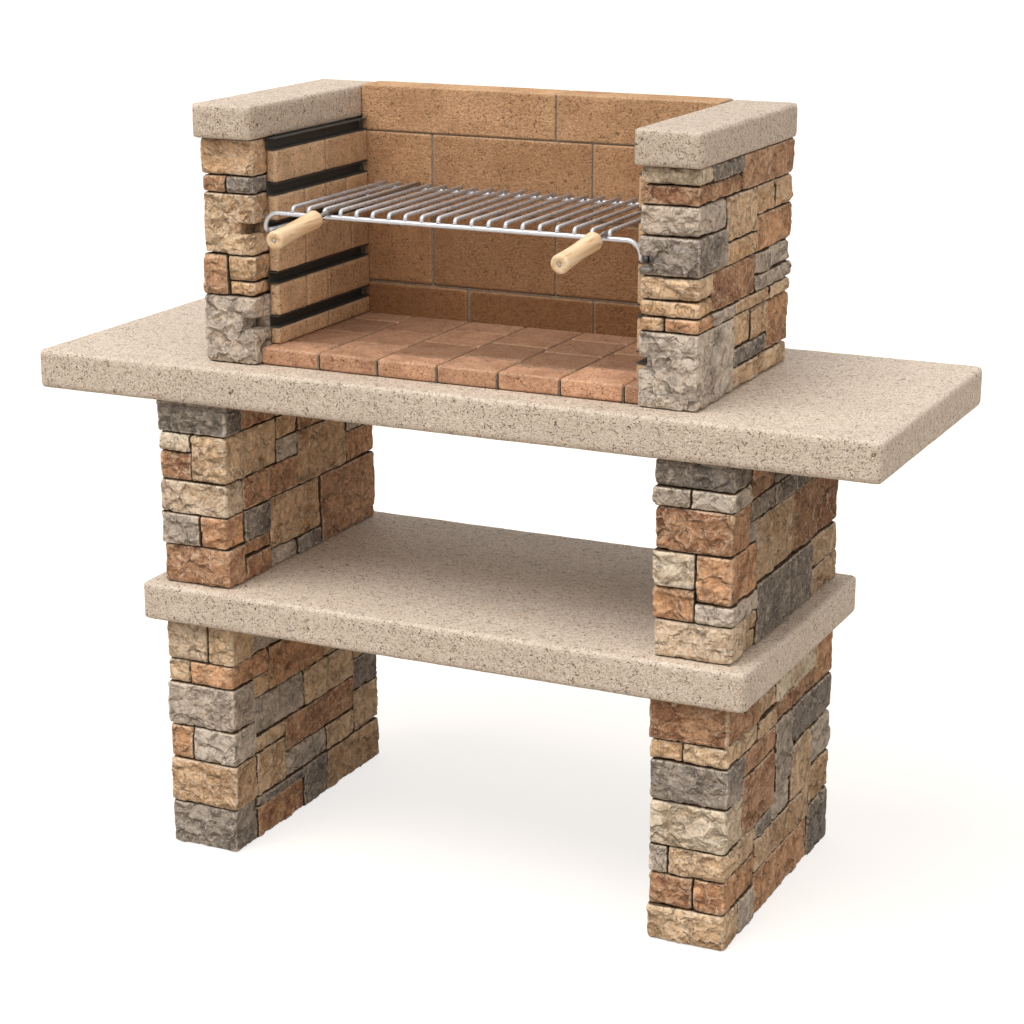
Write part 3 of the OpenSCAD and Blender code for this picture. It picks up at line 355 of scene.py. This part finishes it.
def make_materials(looks):
    """Makes each finish once, for every piece that has it."""
    MATERIALS.update(
        # limestone: cream, with gold iron staining and white calcite veins
        limestone=split_stone("split_limestone", "B8946C", "E8E0D2", ridge_share=0.7),
        # sandstone: gold, with browner bedding and pale quartz veins
        sandstone=split_stone("split_sandstone", "A67A50", "E4D4BA", ridge_share=0.8),
        # ironstone: rust and brown, with tan where the crust is broken
        ironstone=split_stone("split_ironstone", "7C4832", "D6BA9A", "ECD4BA", 0.75),
        # greystone: light grey, with tan and darker grey clouds
        greystone=split_stone("split_greystone", "8C8076", "D8CFC2"),
        # slate: dark grey, with brown rust and paler breaks
        slate=split_stone("split_slate", "5E5854", "B09A80", "E8DACA", 0.6),
        concrete=washed_concrete(),
        # mortar behind the stones, in their shade: tan and coarse
        core=mortar("recessed_mortar", "A8967F", "74654F", 120.0),
        # hearth bricks: red-brown, cloudy from the kiln and the embers
        hearth=fired_clay("hearth_brick", "8E5A40", "6A4634", 26.0, 0.45),
        # sand in the hearth's joints: grey-brown with ash
        sand=mortar("joint_sand", "867A6C", "4E443A"),
        # firebrick: buff, low in iron, with paler sawn arrises
        slips=fired_clay("firebrick", "927456", "5A4030", 30.0, 0.35, arris=0.6),
        # fire plates: ochre, pressed, with broad clouds
        plates=fired_clay("fire_plate", "96683F", "6A4A34", 12.0, 0.4),
        # pointing between the plates: light grey
        mortar=mortar("struck_mortar", "A29686", "7E7264"),
        # mild steel channel, blackened by smoke: dark and satin, its soot dulls the metal
        channel=metal("blackened_steel", "4C4B47", 0.5, 0.2, 60.0, 0.5),
        # drawn wire, bright plated: light grey and glossy. It is set less metallic than it is, so that it
        # stays light in front of the brown bricks
        wire=metal("plated_wire", looks.wire_hex, 0.24, 0.08, metallic=0.4),
        # plain drawn rod, duller than the plated bars
        rod=metal("drawn_rod", looks.rod_hex, 0.3, 0.12),
        # turned steel pin, left as cut: mid grey and satin
        pin=metal("pin_steel", "A8A49E", 0.35, 0.1),
        wood=turned_beech())


def deselect():
    if bpy.context.object and bpy.context.object.mode != "OBJECT":
        bpy.ops.object.mode_set(mode="OBJECT")
    bpy.ops.object.select_all(action="DESELECT")


def only(*pieces):
    """Selects just these pieces and makes the first one active."""
    deselect()
    for piece in pieces:
        piece.select_set(True)
    bpy.context.view_layer.objects.active = pieces[0]


def edited(piece, operator, **settings):
    """Runs an edit mode operator on the whole of a piece."""
    only(piece)
    bpy.ops.object.mode_set(mode="EDIT")
    bpy.ops.mesh.select_all(action="SELECT")
    operator(**settings)
    bpy.ops.object.mode_set(mode="OBJECT")


def copied(cad_name, name):
    """A welded copy of a CAD node, free of the frame, to work on."""
    piece = bpy.data.objects.new(name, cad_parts[cad_name].data.copy())
    bpy.context.scene.collection.objects.link(piece)
    piece.data.materials.clear()
    edited(piece, bpy.ops.mesh.remove_doubles, threshold=WELD)
    return piece


def places_of(piece):
    """The points of a mesh piece, one row each."""
    places = np.zeros(len(piece.data.vertices) * 3)
    piece.data.vertices.foreach_get("co", places)
    return places.reshape(-1, 3)


def corners(piece):
    """Lowest and highest corner of a mesh piece."""
    places = places_of(piece)
    return places.min(0), places.max(0)


def taken_apart(piece):
    """The loose solids of a piece, in a fixed order."""
    edited(piece, bpy.ops.mesh.separate, type="LOOSE")
    parts = bpy.context.selected_objects
    return sorted(parts, key=lambda part: [round(float(c), 3) for c in corners(part)[0]])


BREAKS = {}


def make_breaks():
    """The rough fields that press into broken stone and worn brick."""
    for name, basis, size, depth in (
            ("broad_a", "ORIGINAL_PERLIN", 0.055, 2), ("broad_b", "IMPROVED_PERLIN", 0.045, 2),
            ("broad_c", "BLENDER_ORIGINAL", 0.065, 3), ("chips_a", "VORONOI_F1", 0.022, 1),
            ("chips_b", "VORONOI_F2_F1", 0.03, 1), ("chips_c", "VORONOI_CRACKLE", 0.04, 1),
            ("fine", "BLENDER_ORIGINAL", 0.012, 3)):
        field = bpy.data.textures.new(name, "CLOUDS")
        field.noise_basis = basis
        field.noise_scale = size
        field.noise_depth = depth
        BREAKS[name] = field
    # plates of stone, each broken off at its own depth
    for name, size in (("ledges_a", 0.034), ("ledges_b", 0.042)):
        field = bpy.data.textures.new(name, "VORONOI")
        field.color_mode = "POSITION"
        field.noise_scale = size
        BREAKS[name] = field


def worn(part, voxel, rounding, fields, swell=0.0, middle=1.0):
    """Stacks modifiers on a solid: an even mesh, rounded arrises and rough fields. A middle of 1
    only presses inwards, and 0.5 swells as much as it presses."""
    grid = part.modifiers.new("even", "REMESH")
    grid.mode = "VOXEL"
    grid.voxel_size = voxel
    grid.use_smooth_shade = True
    soften = part.modifiers.new("round", "SMOOTH")
    soften.factor = 0.5
    soften.iterations = rounding
    if swell:
        grow = part.modifiers.new("swell", "DISPLACE")
        grow.strength = swell
        grow.mid_level = 0.0
    for field, depth in fields:
        press = part.modifiers.new(field, "DISPLACE")
        press.texture = BREAKS[field]
        press.texture_coords = "LOCAL"
        press.strength = depth
        press.mid_level = middle


def brick_fields(dice, broad, fine):
    """One of two broad fields and the fine one, which wear a brick."""
    return [(dice.choice(("broad_a", "broad_b")), broad), ("fine", fine)]


def applied(parts):
    """Applies every modifier of the parts at once."""
    only(*parts)
    bpy.ops.object.convert(target="MESH")


def held(part, low, high):
    """Keeps every point of a part between two corners."""
    part.data.vertices.foreach_set("co", np.clip(places_of(part), low, high).ravel())
    part.data.update()


def notched(part, low, high):
    """Cuts the box between two corners out of a part."""
    deselect()
    bpy.ops.mesh.primitive_cube_add(size=1.0, location=[(a + b) / 2 for a, b in zip(low, high)])
    box = bpy.context.object
    box.scale = [b - a for a, b in zip(low, high)]
    cut = part.modifiers.new("notch", "BOOLEAN")
    cut.operation = "DIFFERENCE"
    cut.solver = "EXACT"
    cut.object = box
    applied([part])
    bpy.data.objects.remove(box)


def marked(part, name, numbers):
    """Writes one number for each point of a part, for the materials to read."""
    mark = part.data.attributes.new(name, "FLOAT", "POINT")
    mark.data.foreach_set("value", np.asarray(numbers, np.float32))


def burnt(clay, share, paint):
    """Linear colour of a piece of clay between its lightest and its darkest, lighter or darker by chance.
    """
    lightest, darkest, spread = clay
    shade = paint.uniform(1 - spread, 1 + spread)
    return [(a + (b - a) * share) * shade for a, b in zip(linear(lightest)[:3], linear(darkest)[:3])]


def tinted(part, colour, seed, lift=1.0, strength=1.0):
    """Writes a part's own tint and seed on its mesh, for the materials to read. The lift makes up
    for the darkening by grit and the painted shade in hollows, so that the tint is what the eye sees."""
    count = len(part.data.vertices)
    tint = part.data.attributes.new("stone_tint", "FLOAT_COLOR", "POINT")
    plain = sum(colour) / 3
    colour = [plain + (c - plain) * strength for c in colour]
    lift = min(lift, 1.0 / max(colour))
    colour = [c * lift for c in colour] + [1.0]
    tint.data.foreach_set("color", np.tile(np.array(colour, np.float32), count))
    marked(part, "stone_seed", np.full(count, seed))


def jointed(part, low, high, outer_low, outer_high, reach):
    """Writes how far each point lies from the nearest joint and from the nearest arris of its stone,
    as a share of the reach. A face near an outer face of the pier is seen, and the others are joints."""
    places = places_of(part)
    joint = np.full(len(places), reach)
    nearest = []
    for axis in (0, 1, 2):
        below, above = places[:, axis] - low[axis], high[axis] - places[:, axis]
        if axis == 2 or low[axis] > outer_low[axis] + SAME_FACE:
            joint = np.minimum(joint, below)
        if axis == 2 or high[axis] < outer_high[axis] - SAME_FACE:
            joint = np.minimum(joint, above)
        nearest.append(np.minimum(below, above))
    rim = np.sort(np.array(nearest), axis=0)[1]
    for name, distance in (("stone_joint", joint), ("stone_rim", rim)):
        marked(part, name, np.clip(distance / reach, 0.0, 1.0))


def joined(parts, name, material):
    """Joins the parts into one piece with one material."""
    only(*parts)
    if len(parts) > 1:
        bpy.ops.object.join()
    piece = bpy.context.view_layer.objects.active
    piece.name = name
    piece.data.name = name
    piece.data.materials.clear()
    piece.data.materials.append(MATERIALS[material])
    return piece


def seated(piece, body, slot, *nodes):
    """Rides the piece on its body, in the place of its CAD nodes."""
    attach(piece, body)
    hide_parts(*nodes)


def shown(cad_name, material):
    """Gives a CAD node that stays as it is its finish."""
    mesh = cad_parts[cad_name].data
    mesh.materials.clear()
    mesh.materials.append(MATERIALS[material])


def rounded_copy(cad_name, name, material, slot, angle):
    """A welded copy of a CAD node of the grill, shaded round, that stands for it."""
    piece = copied(cad_name, name)
    bpy.ops.object.shade_smooth_by_angle(angle=angle)
    piece.data.materials.append(MATERIALS[material])
    seated(piece, "grill", slot, cad_name)


class FacingSizes(bpy.types.PropertyGroup):
    """How the facing stones are broken and worn"""
    mesh_step: FloatProperty(
        name="Mesh step", description="Size of the stones' mesh faces", default=0.0036, min=0.003,
        unit="LENGTH")
    rounding: IntProperty(name="Rounding", description="How worn the arrises are", default=0, min=0, max=20)
    broad_depth: FloatProperty(
        name="Hollow depth", description="Depth of the broad hollows in a face", default=0.0045,
        unit="LENGTH")
    chip_depth: FloatProperty(
        name="Chip depth", description="Depth of the chips left by the hammer", default=0.003,
        unit="LENGTH")
    ledge_depth: FloatProperty(
        name="Ledge depth", description="How far apart in depth the broken plates lie", default=0.005,
        unit="LENGTH")
    swell: FloatProperty(
        name="Swell", description="How far each stone swells into its joints", default=0.001,
        unit="LENGTH")
    proud: FloatProperty(
        name="Proud", description="How far a break may stand out of its stone's solid", default=0.002,
        unit="LENGTH")
    joint_reach: FloatProperty(
        name="Joint reach", description="How far from a joint or an arris the wear shows", default=0.01,
        min=0.001, unit="LENGTH")
    tint_lift: FloatProperty(
        name="Tint lift", description="How much lighter a stone's ground is than its look", default=1.72)
    facet_angle: FloatProperty(
        name="Facet angle", description="Faces that meet above it show an edge", default=math.radians(34),
        subtype="ANGLE")
    low_notch: FloatProperty(
        name="Low notch", description="Height of the lower notches above the ground", default=0.96,
        unit="LENGTH")
    high_notch: FloatProperty(
        name="High notch", description="Height of the upper notches above the ground", default=1.124,
        unit="LENGTH")
    notch_width: FloatProperty(
        name="Notch width", description="How far a notch cuts into its stone", default=0.026,
        unit="LENGTH")
    notch_height: FloatProperty(
        name="Notch height", description="Height of a notch", default=0.02, unit="LENGTH")
    notch_depth: FloatProperty(
        name="Notch depth", description="Depth of a notch from the wall's front", default=0.045,
        unit="LENGTH")


class MasonrySizes(bpy.types.PropertyGroup):
    """How the concrete, bricks, slips and plates are worn"""
    slab_step: FloatProperty(
        name="Slab mesh step", description="Size of the slabs' mesh faces", default=0.0055, min=0.004,
        unit="LENGTH")
    brick_step: FloatProperty(
        name="Brick mesh step", description="Size of the bricks' mesh faces", default=0.0035, min=0.003,
        unit="LENGTH")
    slab_wave: FloatProperty(
        name="Slab wave", description="Depth of the unevenness of a slab", default=0.0012, unit="LENGTH")
    brick_wear: FloatProperty(
        name="Brick wear", description="Depth of the wear on a brick", default=0.0009, unit="LENGTH")
    clay_lift: FloatProperty(
        name="Clay lift", description="How much lighter a brick's ground is than its look", default=1.41)
    brick_swell: FloatProperty(
        name="Brick swell", description="How far a brick swells into its joints", default=0.0005,
        unit="LENGTH")


class GrillSizes(bpy.types.PropertyGroup):
    """The grill's wires and grips"""
    smooth_angle: FloatProperty(
        name="Smoothing angle", description="Faces that meet below it are shaded round",
        default=math.radians(40), subtype="ANGLE")
    wire_hex: StringProperty(
        name="Wire colour", description="sRGB code of the plated wire", default="D2D4DA")
    rod_hex: StringProperty(name="Rod colour", description="sRGB code of the handle rods", default="9C9690")


class StageSizes(bpy.types.PropertyGroup):
    """The camera, the lamps and the floor"""
    camera_place: FloatVectorProperty(
        name="Camera place", description="Where the camera stands",
        default=(1.776263, -3.660703, 1.797819), subtype="TRANSLATION")
    camera_down: FloatProperty(
        name="Camera pitch", description="How far the camera looks down", default=0.279013,
        subtype="ANGLE")
    camera_turn: FloatProperty(
        name="Camera turn", description="How far the camera turns to the left", default=0.443212,
        subtype="ANGLE")
    camera_lens: FloatProperty(name="Lens", description="Focal length in millimetres", default=84.80)
    camera_sensor: FloatProperty(
        name="Sensor", description="Width of the sensor in millimetres", default=36.0)
    camera_shift: FloatProperty(
        name="Shift", description="How far the frame lies to the right", default=0.0008)
    sun_strength: FloatProperty(
        name="Sun strength", description="Strength of the large soft key lamp", default=2.5)
    fill_strength: FloatProperty(
        name="Fill strength", description="Strength of the weak lamp at the right", default=0.5)
    sun_width: FloatProperty(
        name="Sun width", description="How wide both lamps are, which softens the shadow",
        default=math.radians(40), subtype="ANGLE")
    sky_strength: FloatProperty(
        name="Sky strength", description="Strength of the even light all round", default=0.6)
    floor_size: FloatProperty(
        name="Floor size", description="Length of the floor's sides", default=60.0, unit="LENGTH")
    floor_drop: FloatProperty(
        name="Floor drop", description="How far the floor lies under the stones", default=0.0005,
        unit="LENGTH")
    floor_hex: StringProperty(name="Floor colour", description="sRGB code of the floor", default="A49A8E")
    floor_glow: FloatProperty(
        name="Floor glow", description="Light that the floor adds for the camera", default=0.72)


class BBQ_OT_stage(bpy.types.Operator):
    """Adds the camera, the soft lamps and the pale floor"""
    bl_idname = "bbq.stage"
    bl_label = "Stage"

    def execute(self, context):
        sizes = context.scene.bbq_stage
        deselect()
        bpy.ops.object.camera_add(location=sizes.camera_place,
                                  rotation=(math.pi / 2 - sizes.camera_down, 0.0, sizes.camera_turn))
        camera = context.object
        camera.name = "camera"
        camera.data.lens = sizes.camera_lens
        camera.data.sensor_width = sizes.camera_sensor
        camera.data.shift_x = sizes.camera_shift
        context.scene.camera = camera
        for name, tilt, turn, strength, colour in (
                ("key_lamp", 28, -28, sizes.sun_strength, (1.0, 0.99, 0.97)),
                ("fill_lamp", 50, 60, sizes.fill_strength, (1.0, 0.92, 0.82))):
            bpy.ops.object.light_add(type="SUN", rotation=(math.radians(tilt), 0.0, math.radians(turn)))
            sun = context.object
            sun.name = name
            sun.data.energy = strength
            sun.data.angle = sizes.sun_width
            sun.data.color = colour
        # even light for the object, behind which the camera, glass and metal see plain white
        world = bpy.data.worlds.new("studio")
        context.scene.world = world
        world.use_nodes = True
        tree = world.node_tree
        tree.nodes.clear()
        path = add(tree, "LightPath").outputs
        seen = path["Is Camera Ray"]
        for other in ("Is Transmission Ray", "Is Glossy Ray"):
            seen = add(tree, "Math", {0: seen, 1: path[other]}, operation="MAXIMUM")
        even = add(tree, "Background", {"Color": (1.0, 0.98, 0.95, 1.0), "Strength": sizes.sky_strength})
        white = add(tree, "Background", {"Color": WHITE, "Strength": 1.0})
        add(tree, "OutputWorld", {"Surface": add(tree, "MixShader", {0: seen, 1: even, 2: white})})
        deselect()
        bpy.ops.mesh.primitive_plane_add(size=sizes.floor_size, location=(0.0, 0.0, -sizes.floor_drop))
        floor = context.object
        floor.name = "studio_floor"
        # a seamless studio floor: matt white paper that the camera sees as white but for the shadow
        material, tree = new_material("studio_paper")
        paper = add(tree, "BsdfPrincipled", {"Base Color": linear(sizes.floor_hex), "Roughness": 0.9})
        path = add(tree, "LightPath").outputs
        glow = add(tree, "Emission", {"Color": WHITE, "Strength": sizes.floor_glow})
        both = add(tree, "AddShader", {0: paper, 1: glow})
        seen = add(tree, "Math", {0: path["Is Camera Ray"], 1: path["Is Glossy Ray"]}, operation="MAXIMUM")
        add(tree, "OutputMaterial", {"Surface": add(tree, "MixShader", {0: seen, 1: paper, 2: both})})
        floor.data.materials.append(material)
        context.scene.view_settings.view_transform = "Standard"
        return {"FINISHED"}


class BBQ_OT_facing(bpy.types.Operator):
    """Breaks and wears the facing stones of every pier and gives each its own tint"""
    bl_idname = "bbq.facing"
    bl_label = "Facing stones"

    def cut_notches(self, stone, inner, front, sizes):
        """Cuts the notches for the grill into a front stone that stands at the opening."""
        for bottom in (sizes.low_notch, sizes.high_notch):
            reaches = min(abs(stone["low"][0]), abs(stone["high"][0])) < inner + AT_OPENING
            if reaches and stone["low"][2] < bottom + sizes.notch_height and stone["high"][2] > bottom:
                side = 1 if stone["low"][0] > 0 else -1
                across = sorted((side * (inner - CUT_PAST), side * (inner + sizes.notch_width)))
                notched(stone["part"], (across[0], front - CUT_PAST, bottom),
                        (across[1], front + sizes.notch_depth, bottom + sizes.notch_height))

    def lit(self, stones, pier, front, right):
        """Sets how light the stones of the front and of the outer right side are: their painted light and
        shade.
        """
        tier = pier.split("_")[0]
        for stone in stones:
            if stone["low"][1] < front + SAME_FACE:
                stone["light"] = FRONT_PAINTED_LIGHT[tier]
            elif pier.endswith("right") and stone["high"][0] > right - SAME_FACE:
                stone["light"] = SIDE_PAINTED_SHADE[tier]

    def colour_of(self, stone, dice, paint):
        """A colour of the stone's kind, with its wall's painted light and shade where the stone is on show.
        """
        if stone["light"] is None:
            return linear(dice.choice(KIND_TINTS[stone["kind"]]))[:3]
        light = stone["light"] * paint.uniform(1 - STONE_SPREAD, 1 + STONE_SPREAD)
        return [c * light for c in linear(paint.choice(KIND_TINTS[stone["kind"]]))[:3]]

    def execute(self, context):
        sizes = context.scene.bbq_facing
        for number, pier in enumerate(PIERS):
            dice, paint = random.Random(FACING_SEED + number), random.Random(PAINT_SEED + number)
            stones = []
            for kind in KINDS:
                for part in taken_apart(copied(f"{pier}_{kind}", f"{pier}_{kind}_worn")):
                    low, high = corners(part)
                    stones.append({"part": part, "kind": kind, "low": low, "high": high, "light": None})
            outer_low = np.min([s["low"] for s in stones], axis=0)
            outer_high = np.max([s["high"] for s in stones], axis=0)
            front = outer_low[1]
            inner = min(abs(c) for s in stones for c in (s["low"][0], s["high"][0]))
            self.lit(stones, pier, front, outer_high[0])
            for stone in stones:
                fields = [(dice.choice(("broad_a", "broad_b", "broad_c")), sizes.broad_depth),
                          (dice.choice(("chips_a", "chips_b", "chips_c")), sizes.chip_depth),
                          (dice.choice(("ledges_a", "ledges_b")), sizes.ledge_depth),
                          ("fine", sizes.chip_depth * 0.4)]
                worn(stone["part"], sizes.mesh_step, sizes.rounding, fields, sizes.swell, middle=0.5)
                stone["tint"] = self.colour_of(stone, dice, paint)
                stone["seed"] = dice.random() * SEED_SPAN
            applied([s["part"] for s in stones])
            for stone in stones:
                part, low, high = stone["part"], stone["low"] + JOINT_GAP, stone["high"] - JOINT_GAP
                for axis in (0, 1):
                    if stone["low"][axis] < outer_low[axis] + SAME_FACE:
                        low[axis] -= sizes.proud
                    if stone["high"][axis] > outer_high[axis] - SAME_FACE:
                        high[axis] += sizes.proud
                if pier.endswith("left"):
                    high[0] = min(high[0], -inner + OPENING_PROUD)
                else:
                    low[0] = max(low[0], inner - OPENING_PROUD)
                held(part, low, high)
                if pier.startswith("upper") and stone["low"][1] < front + SAME_FACE:
                    self.cut_notches(stone, inner, front, sizes)
                jointed(part, stone["low"], stone["high"], outer_low, outer_high, sizes.joint_reach)
                tinted(part, stone["tint"], stone["seed"], sizes.tint_lift, KIND_DEPTHS[stone["kind"]])
            for kind in KINDS:
                parts = [s["part"] for s in stones if s["kind"] == kind]
                piece = joined(parts, f"{pier}_{kind}_stones", kind)
                bpy.ops.object.shade_smooth_by_angle(angle=sizes.facet_angle)
                seated(piece, "masonry", kind, f"{pier}_{kind}")
        return {"FINISHED"}


class BBQ_OT_cores(bpy.types.Operator):
    """Gives the cores behind the facing their recessed mortar"""
    bl_idname = "bbq.cores"
    bl_label = "Cores"

    def execute(self, context):
        for pier in PIERS:
            shown(f"{pier}_core", "core")
        return {"FINISHED"}


class BBQ_OT_slabs(bpy.types.Operator):
    """Makes the worktop, the shelf and the caps of washed concrete"""
    bl_idname = "bbq.slabs"
    bl_label = "Slabs and caps"

    def execute(self, context):
        sizes = context.scene.bbq_masonry
        # the caps are painted darker, as painted shade against the sheen their tops catch
        for node, code in (("worktop_slab", "FFFFFF"), ("shelf_slab", "FFFFFF"), ("left_cap", "F8F6F4"),
                           ("right_cap", "F0EEEC")):
            part = copied(node, f"{node}_washed")
            worn(part, sizes.slab_step, 2, [("broad_c", sizes.slab_wave), ("fine", sizes.slab_wave * 0.5)])
            applied([part])
            tinted(part, linear(code)[:3], 0.0)
            seated(joined([part], f"{node}_washed", "concrete"), "masonry", "washed_concrete", node)
        return {"FINISHED"}


class BBQ_OT_hearth(bpy.types.Operator):
    """Wears the hearth bricks and fills their joints with sand"""
    bl_idname = "bbq.hearth"
    bl_label = "Hearth"

    def execute(self, context):
        sizes = context.scene.bbq_masonry
        dice, paint = random.Random(HEARTH_SEED), random.Random(PAINT_SEED)
        bricks = taken_apart(copied("hearth_bricks", "hearth_bricks_worn"))
        bricks.sort(key=lambda part: (round(corners(part)[0][1] / ROW_STEP), corners(part)[0][0]))
        for brick in bricks:
            fields = brick_fields(dice, sizes.brick_wear, sizes.brick_wear * 0.5)
            worn(brick, sizes.brick_step, 1, fields, sizes.brick_swell)
        applied(bricks)
        front = corners(bricks[0])[0][1]
        for brick in bricks:
            # the rows behind the front row are darker
            behind = corners(brick)[0][1] > front + ROW_STEP
            tinted(brick, burnt(HEARTH_CLAY, behind, paint), dice.random() * SEED_SPAN, sizes.clay_lift)
        seated(joined(bricks, "hearth_bricks_worn", "hearth"), "masonry", "hearth_brick", "hearth_bricks")
        shown("hearth_bed", "sand")
        return {"FINISHED"}


class BBQ_OT_liner(bpy.types.Operator):
    """Wears the firebrick slips at both sides and blackens the steel channels in their grooves"""
    bl_idname = "bbq.liner"
    bl_label = "Grooved liner"

    def execute(self, context):
        sizes = context.scene.bbq_masonry
        for number, side in enumerate(("left", "right")):
            dice, paint = random.Random(LINER_SEED + number), random.Random(PAINT_SEED + number)
            slips = taken_apart(copied(f"{side}_liner", f"{side}_liner_worn"))
            for slip in slips:
                fields = brick_fields(dice, sizes.brick_wear, sizes.brick_wear * 0.5)
                worn(slip, sizes.brick_step, 2, fields)
            applied(slips)
            front = min(corners(slip)[0][1] for slip in slips)
            back = max(corners(slip)[1][1] for slip in slips)
            for slip in slips:
                low, high = corners(slip)
                # the rear ones are darker
                share = ((low[1] + high[1]) / 2 - front) / (back - front)
                colour = burnt(SLIP_CLAY, share, paint)
                tinted(slip, colour, dice.random() * SEED_SPAN, sizes.clay_lift * SLIP_LIFT)
            seated(joined(slips, f"{side}_liner_worn", "slips"), "masonry", "firebrick", f"{side}_liner")
            shown(f"{side}_channels", "channel")
        return {"FINISHED"}


class BBQ_OT_back_wall(bpy.types.Operator):
    """Wears the back wall's plates and points them with mortar"""
    bl_idname = "bbq.back_wall"
    bl_label = "Back wall"

    def execute(self, context):
        sizes = context.scene.bbq_masonry
        dice, paint = random.Random(PLATE_SEED), random.Random(PAINT_SEED)
        plates = taken_apart(copied("back_wall_plates", "back_wall_plates_worn"))
        plates.sort(key=lambda part: (-round(corners(part)[1][2] / COURSE_STEP), corners(part)[0][0]))
        for plate in plates:
            # larger and smoother than the bricks
            fields = brick_fields(dice, sizes.brick_wear * 0.7, sizes.brick_wear * 0.4)
            worn(plate, sizes.brick_step * 1.25, 1, fields, sizes.brick_swell * 2)
        foot = min(corners(plate)[0][2] for plate in plates)
        top = max(corners(plate)[1][2] for plate in plates)
        applied(plates)
        for plate in plates:
            # no plate swells past the wall's top
            held(plate, (-np.inf, -np.inf, 0.0), (np.inf, np.inf, top))
            # painted shade: the wall darkens from its top down to its foot
            low, high = corners(plate)
            colour = burnt(PLATE_CLAY, (top - (low[2] + high[2]) / 2) / (top - foot), paint)
            tinted(plate, colour, dice.random() * SEED_SPAN, sizes.clay_lift)
        piece = joined(plates, "back_wall_plates_worn", "plates")
        seated(piece, "masonry", "fire_plate", "back_wall_plates")
        shown("back_wall_mortar", "mortar")
        return {"FINISHED"}


class BBQ_OT_grill(bpy.types.Operator):
    """Makes the grill's rails, runners and bars of plated wire"""
    bl_idname = "bbq.grill"
    bl_label = "Grill"

    def execute(self, context):
        angle = context.scene.bbq_grill.smooth_angle
        for node in ("grill_front_rail", "grill_rear_rail", "grill_left_runner", "grill_right_runner",
                     "grill_bars"):
            rounded_copy(node, f"{node}_wire", "wire", "chrome_wire", angle)
        return {"FINISHED"}


class BBQ_OT_handles(bpy.types.Operator):
    """Makes the handles: rods, turned grips and their end pins"""
    bl_idname = "bbq.handles"
    bl_label = "Handles"

    def execute(self, context):
        angle = context.scene.bbq_grill.smooth_angle
        for side in ("left", "right"):
            rounded_copy(f"{side}_handle_rod", f"{side}_handle_rod_steel", "rod", "chrome_wire", angle)
            rounded_copy(f"{side}_grip", f"{side}_grip_beech", "wood", "beech", angle)
        rounded_copy("grip_pins", "grip_pins_steel", "pin", "pin_steel", angle)
        return {"FINISHED"}


class BBQ_PT_barbecue(bpy.types.Panel):
    """Lists the steps that dress the barbecue"""
    bl_idname = "BBQ_PT_barbecue"
    bl_label = "Masonry barbecue"
    bl_space_type = "VIEW_3D"
    bl_region_type = "UI"
    bl_category = "Barbecue"

    def draw(self, context):
        column = self.layout.column()
        for group in GROUPS:
            holder = getattr(context.scene, group)
            for key in holder.__annotations__:
                column.prop(holder, key)
        for step in STEPS:
            column.operator(step.bl_idname)


STEPS = (BBQ_OT_stage, BBQ_OT_cores, BBQ_OT_slabs, BBQ_OT_facing, BBQ_OT_hearth, BBQ_OT_liner,
         BBQ_OT_back_wall, BBQ_OT_grill, BBQ_OT_handles)
GROUPS = {"bbq_facing": FacingSizes, "bbq_masonry": MasonrySizes, "bbq_grill": GrillSizes,
          "bbq_stage": StageSizes}


def register():
    for key, group in GROUPS.items():
        bpy.utils.register_class(group)
        setattr(bpy.types.Scene, key, bpy.props.PointerProperty(type=group))
    for step in (*STEPS, BBQ_PT_barbecue):
        bpy.utils.register_class(step)


def unregister():
    for step in (BBQ_PT_barbecue, *reversed(STEPS)):
        bpy.utils.unregister_class(step)
    for key, group in GROUPS.items():
        delattr(bpy.types.Scene, key)
        bpy.utils.unregister_class(group)


def main():
    register()
    deselect()
    make_materials(bpy.context.scene.bbq_grill)
    make_breaks()
    bpy.ops.bbq.stage()
    bpy.ops.bbq.cores()
    bpy.ops.bbq.slabs()
    bpy.ops.bbq.facing()
    bpy.ops.bbq.hearth()
    bpy.ops.bbq.liner()
    bpy.ops.bbq.back_wall()
    bpy.ops.bbq.grill()
    bpy.ops.bbq.handles()
    deselect()


if __name__ == "__main__":
    main()
